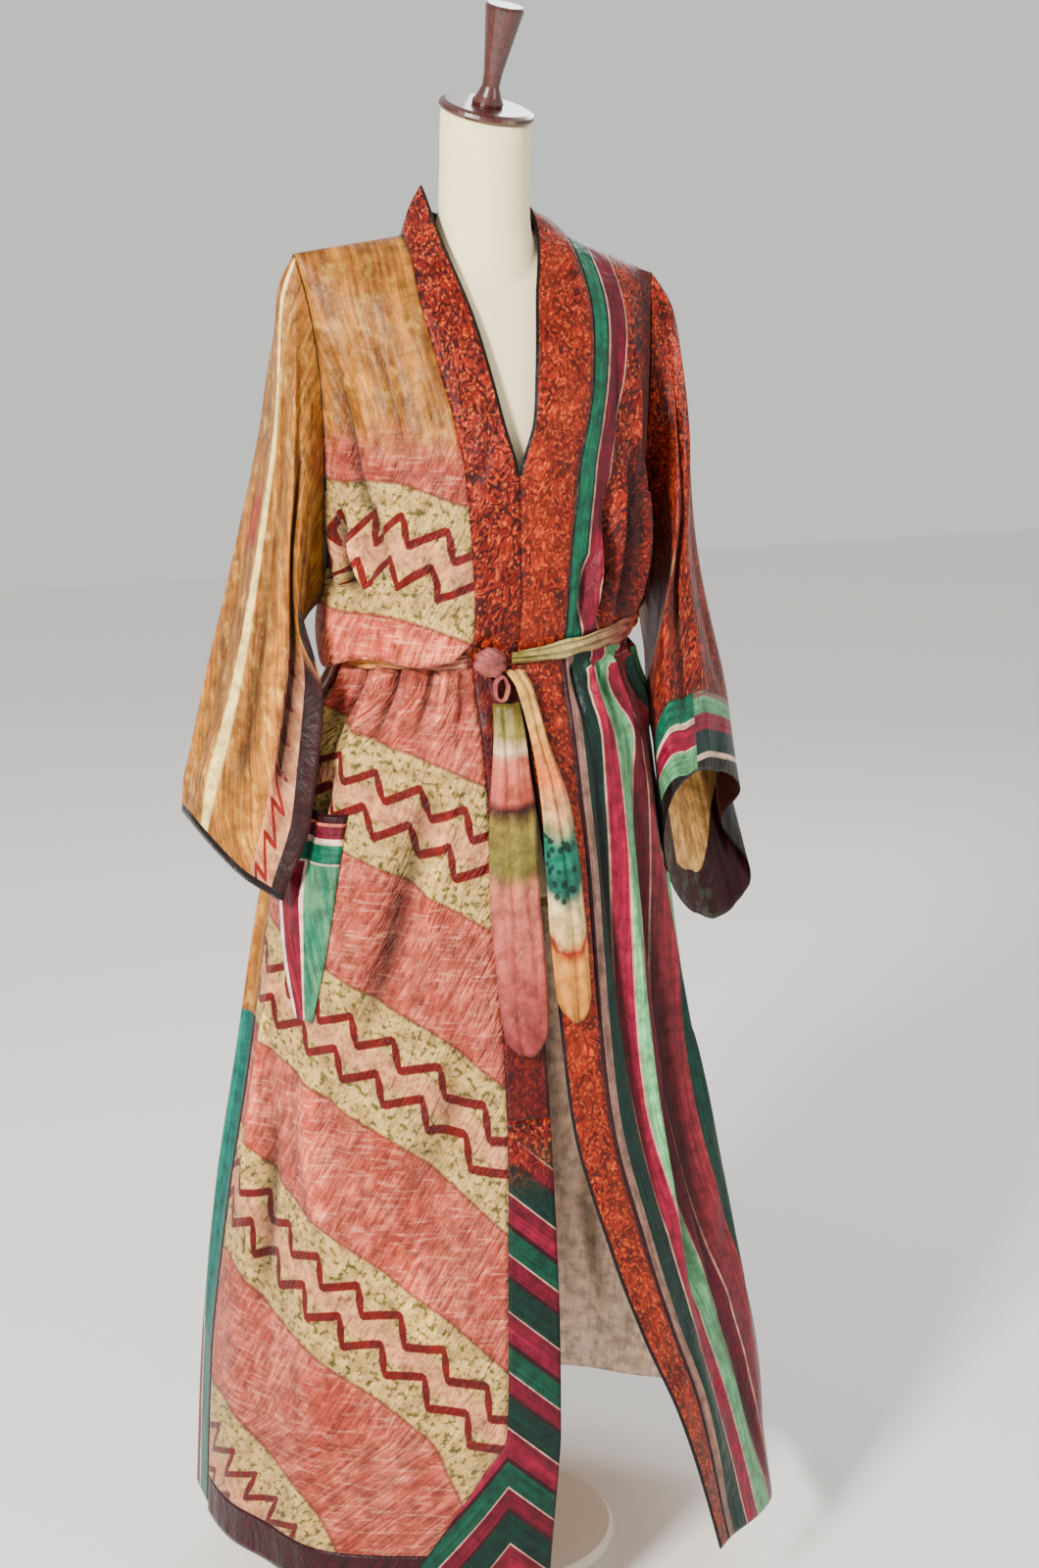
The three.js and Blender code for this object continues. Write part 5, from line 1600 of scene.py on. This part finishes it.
loop_points = grid(loop_surface, closed_steps(0, 1, 24), closed_steps(0, 1, 60))
round_piece("belt_loop", loop_points, loop_hub, True)

# x of both edges of the tails and how far they hang in front of the cloth.
TAILS = {
    "right": table("z from to out", """
961 -39 -13 8
900 -46 -9 9
845 -52 -5 9
760 -54 -4 10
680 -52 -2 12
622 -46 -6 12
"""),
    "left": table("z from to out", """
992 -25.4 -6 10
975 -16 1 13
930 -8 9 12
880 -1 26 11
830 2 36 11
760 4 42 12
690 6 45 12
648 12 44 12
"""),
}
# Lengthwise pleats of the tails: place across and width as shares, and depth in millimetres.
TAIL_PLEATS = {
    "right": [(0.2, 0.08, 1.6), (0.42, 0.06, -2.6), (0.62, 0.09, 1.8), (0.84, 0.06, -1.4)],
    "left": [(0.15, 0.07, -1.4), (0.36, 0.09, 1.8), (0.58, 0.06, -2.2), (0.8, 0.09, 1.8)],
}


def tail_surface(rows, pleats):
    edge_a, edge_b, out = (column(rows, key) for key in ("from", "to", "out"))

    def surface(u, z):
        x = mix(edge_a(z), edge_b(z), u)
        s = station_at(z)
        psi = np.where(x < 0, psi_at(-1, x, s), psi_at(1, x, s))
        base = drape(np.where(x < 0, -1, 1), -1, psi, s, creased=False)
        raised = np.zeros(x.shape)
        for place, width, depth in pleats:
            sway = 0.05 * np.sin(z * 0.021 + place * 9)
            raised += depth * bump(u - place - sway, width)
        raised += 0.7 * np.sin(z * 0.09 + 5 * u)
        y = base[..., 1] - out(z) - 2.5 * np.sin(np.pi * np.clip(u, 0, 1)) - raised
        return np.stack([x, y, z], -1)

    return surface


def tail(key, material, round_end):
    """A hanging end of the belt, rounded at its foot by round_end millimetres."""
    rows = TAILS[key]
    top, bottom = rows[0]["z"], rows[-1]["z"]
    us, vs = np.linspace(0, 1, 23), np.linspace(0, 1, 110)
    u, v = np.meshgrid(us, vs)
    foot = bottom + round_end * np.abs(2 * u - 1) ** 2.4
    points = tail_surface(rows, TAIL_PLEATS[key])(u, mix(top, foot, v))
    node = "belt_tail_" + key
    cloth(node, points, [material, material], thick=TAIL_THICK, places=(v, u, 0.0))


tail("right", belt_silk("tail_one", TAIL_ONE), 16)
tail("left", belt_silk("tail_two", TAIL_TWO, (0.48, 0.66)), 22)

# ---------- Dress form ----------
FORM_RINGS = table("z wide front back middle", """
1150 140 122 80 10
1080 128 112 78 10
1000 118 96 72 12
930 136 104 84 13
850 158 112 98 14
780 166 112 102 14
745 150 98 88 14
""")
FORM_TIP, FORM_FALL, FORM_CLEAR, FORM_NECK_CLEAR = 164, 0.44, 2.6, 12
FORM_CURVES = (1.4, 1.02)  # exponents of the profile, front and back
HIP_Z = FORM_RINGS[-1]["z"]
NECK_RINGS = table("z radius y", """
1340 56 12
1384 51 11
1402 47 10
1424 45 8
1460 44 5
1512 44 1
""")
NECK_FOOT, NECK_TOP = NECK_RINGS[0]["z"], NECK_RINGS[-1]["z"]
TILT_START = 1424  # above this height the neck's rings lean over to the cap's slope
TILT_FORWARD, TILT_SIDE = 15, 6
VOXEL = 4.5
form_ring = {key: column(FORM_RINGS, key) for key in ("wide", "front", "back", "middle")}


def form_surface(turn, station):
    """The form's torso. turn runs all round it in degrees from the centre front."""
    side = np.where(turn < 180, 1, -1)
    bent = np.where(turn < 180, turn, 360 - turn)
    face = np.where(bent < 90, -1, 1)
    psi = np.where(face < 0, bent, 180 - bent) * RAD
    z = height_at(np.maximum(station, 1))
    depth = np.where(face < 0, form_ring["front"](z), form_ring["back"](z))
    across, along = np.sin(psi), np.cos(psi)
    ring_y = form_ring["middle"](z) + face * depth * along
    share_out = np.sin(quarter_turn(station)) ** np.where(face < 0, *FORM_CURVES)
    share_up = chest_share(station)
    x = side * mix(form_ring["wide"](z), FORM_TIP, share_up) * across
    neck_back = np.where(face < 0, 0, neck_line(x, NECK_BACK - FORM_NECK_CLEAR))
    top_z = NECK_Z - FORM_CLEAR - FORM_FALL * np.maximum(0, np.abs(x) - NECK_HALF)
    y = np.where(station < 1, mix(RIDGE_Y + neck_back, ring_y, share_out), ring_y)
    return np.stack([x, y, np.where(station < 1, mix(BUST_Z, top_z, share_up), z)], -1)


cap_normal = np.array([
    math.sin(TILT_SIDE * RAD),
    -math.sin(TILT_FORWARD * RAD) * math.cos(TILT_SIDE * RAD),
    math.cos(TILT_FORWARD * RAD) * math.cos(TILT_SIDE * RAD),
])


def neck_surface(u, z):
    """The form's neck, whose top lies against the tilted cap."""
    lean = smooth((z - TILT_START) / (NECK_TOP - TILT_START))[..., None]
    n = mix(np.array([0.0, 0.0, 1.0]), cap_normal, lean)
    angle = u * 2 * np.pi
    radius = column(NECK_RINGS, "radius")(z)
    x, y = radius * np.sin(angle), -radius * np.cos(angle)
    drop = (n[..., 0] * x + n[..., 1] * y) / n[..., 2]
    return np.stack([x, column(NECK_RINGS, "y")(z) + y, z - drop], -1)


def capped(name, points):
    """A closed body through rings of points, with a flat fan over each end."""
    tall, wide = points.shape[:2]
    obj = grid_object(name, points, True)
    shape = obj.data
    vertices = [tuple(v.co) for v in shape.vertices]
    faces = [tuple(p.vertices) for p in shape.polygons]
    for row in (0, tall - 1):
        vertices.append(tuple(points[row].mean(axis=0) * MM))
        hub, first = len(vertices) - 1, row * wide
        for c in range(wide):
            here, after = first + c, first + (c + 1) % wide
            faces.append((hub, here, after) if row else (hub, after, here))
    shape.clear_geometry()
    shape.from_pydata(vertices, [], faces)
    shape.shade_smooth()
    return obj


body_stations = station_at(np.arange(1145, HIP_Z, -8))
form_stations = np.concatenate([np.linspace(0.02, 1, 40), body_stations, [station_at(HIP_Z)]])
neck_rows = np.linspace(NECK_TOP, NECK_FOOT, 40)
torso = capped("form_torso_cover", grid(form_surface, closed_steps(0, 360, 128), form_stations))
neck = capped("form_neck", grid(neck_surface, closed_steps(0, 1, 64), neck_rows))
for part in (torso, neck):
    face_outwards(part, body_axis)
bpy.ops.object.select_all(action="DESELECT")
torso.select_set(True)
neck.select_set(True)
bpy.context.view_layer.objects.active = torso
bpy.ops.object.join()
joined = torso.modifiers.new("joined", "REMESH")
joined.mode = "VOXEL"
joined.voxel_size = VOXEL * MM
joined.use_smooth_shade = True
eased = torso.modifiers.new("eased", "SMOOTH")
eased.factor = 0.5
eased.iterations = 6
stand_for(torso, "form_torso", LINEN)
# The nodes that keep their CAD shape. The plate shows between the fronts, so it is pale there.
KEPT = {
    "neck_cap": WOOD, "neck_handle": WOOD, "hip_plate": BARE_WOOD, "pole": ENAMEL, "base": ENAMEL,
}
for node, material in KEPT.items():
    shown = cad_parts[node]
    shown.data.materials.clear()
    shown.data.materials.append(material)

# ---------- Studio, in metres ----------
FLOOR = 6  # half its side
corners = [(-FLOOR, -FLOOR, 0), (FLOOR, -FLOOR, 0), (FLOOR, FLOOR, 0), (-FLOOR, FLOOR, 0)]
floor_mesh = bpy.data.meshes.new("floor")
floor_mesh.from_pydata(corners, [], [(0, 1, 2, 3)])
floor = put("floor", floor_mesh)
floor_mesh.materials.append(hard("floor_paint", rgb(236, 234, 230), 0.7))

world = bpy.data.worlds.new("studio")
bpy.context.scene.world = world
world.use_nodes = True
background = world.node_tree.nodes["Background"]
background.inputs[0].default_value = (1, 0.99, 0.97, 1)
background.inputs[1].default_value = 0.8


def softbox(name, place, aim, size, power, warmth):
    """A square lamp at a place, turned towards aim, with its power in watts."""
    light = bpy.data.lights.new(name, "AREA")
    light.size = size
    light.energy = power
    light.color = warmth
    lamp = put(name, light)
    lamp.location = place
    way = Vector(aim) - Vector(place)
    lamp.rotation_euler = way.to_track_quat("-Z", "Y").to_euler()


softbox("key", (-2.6, -2.2, 2.6), (0, 0, 1.0), 0.6, 340, (1, 0.97, 0.92))
softbox("fill", (2.4, -2.6, 1.8), (0, 0, 0.9), 1.6, 34, (1, 0.95, 0.88))
softbox("rim", (1.6, 2.2, 2.6), (0, 0, 1.1), 1.2, 40, (1, 1, 1))

lens = bpy.data.cameras.new("camera")
lens.sensor_fit = "VERTICAL"
lens.sensor_height = 36
lens.lens = 60.75
camera = put("camera", lens)
camera.location = (-0.866, -2.473, 1.52)
camera.rotation_euler = (75.6 * RAD, 0, -20 * RAD)
bpy.context.scene.camera = camera
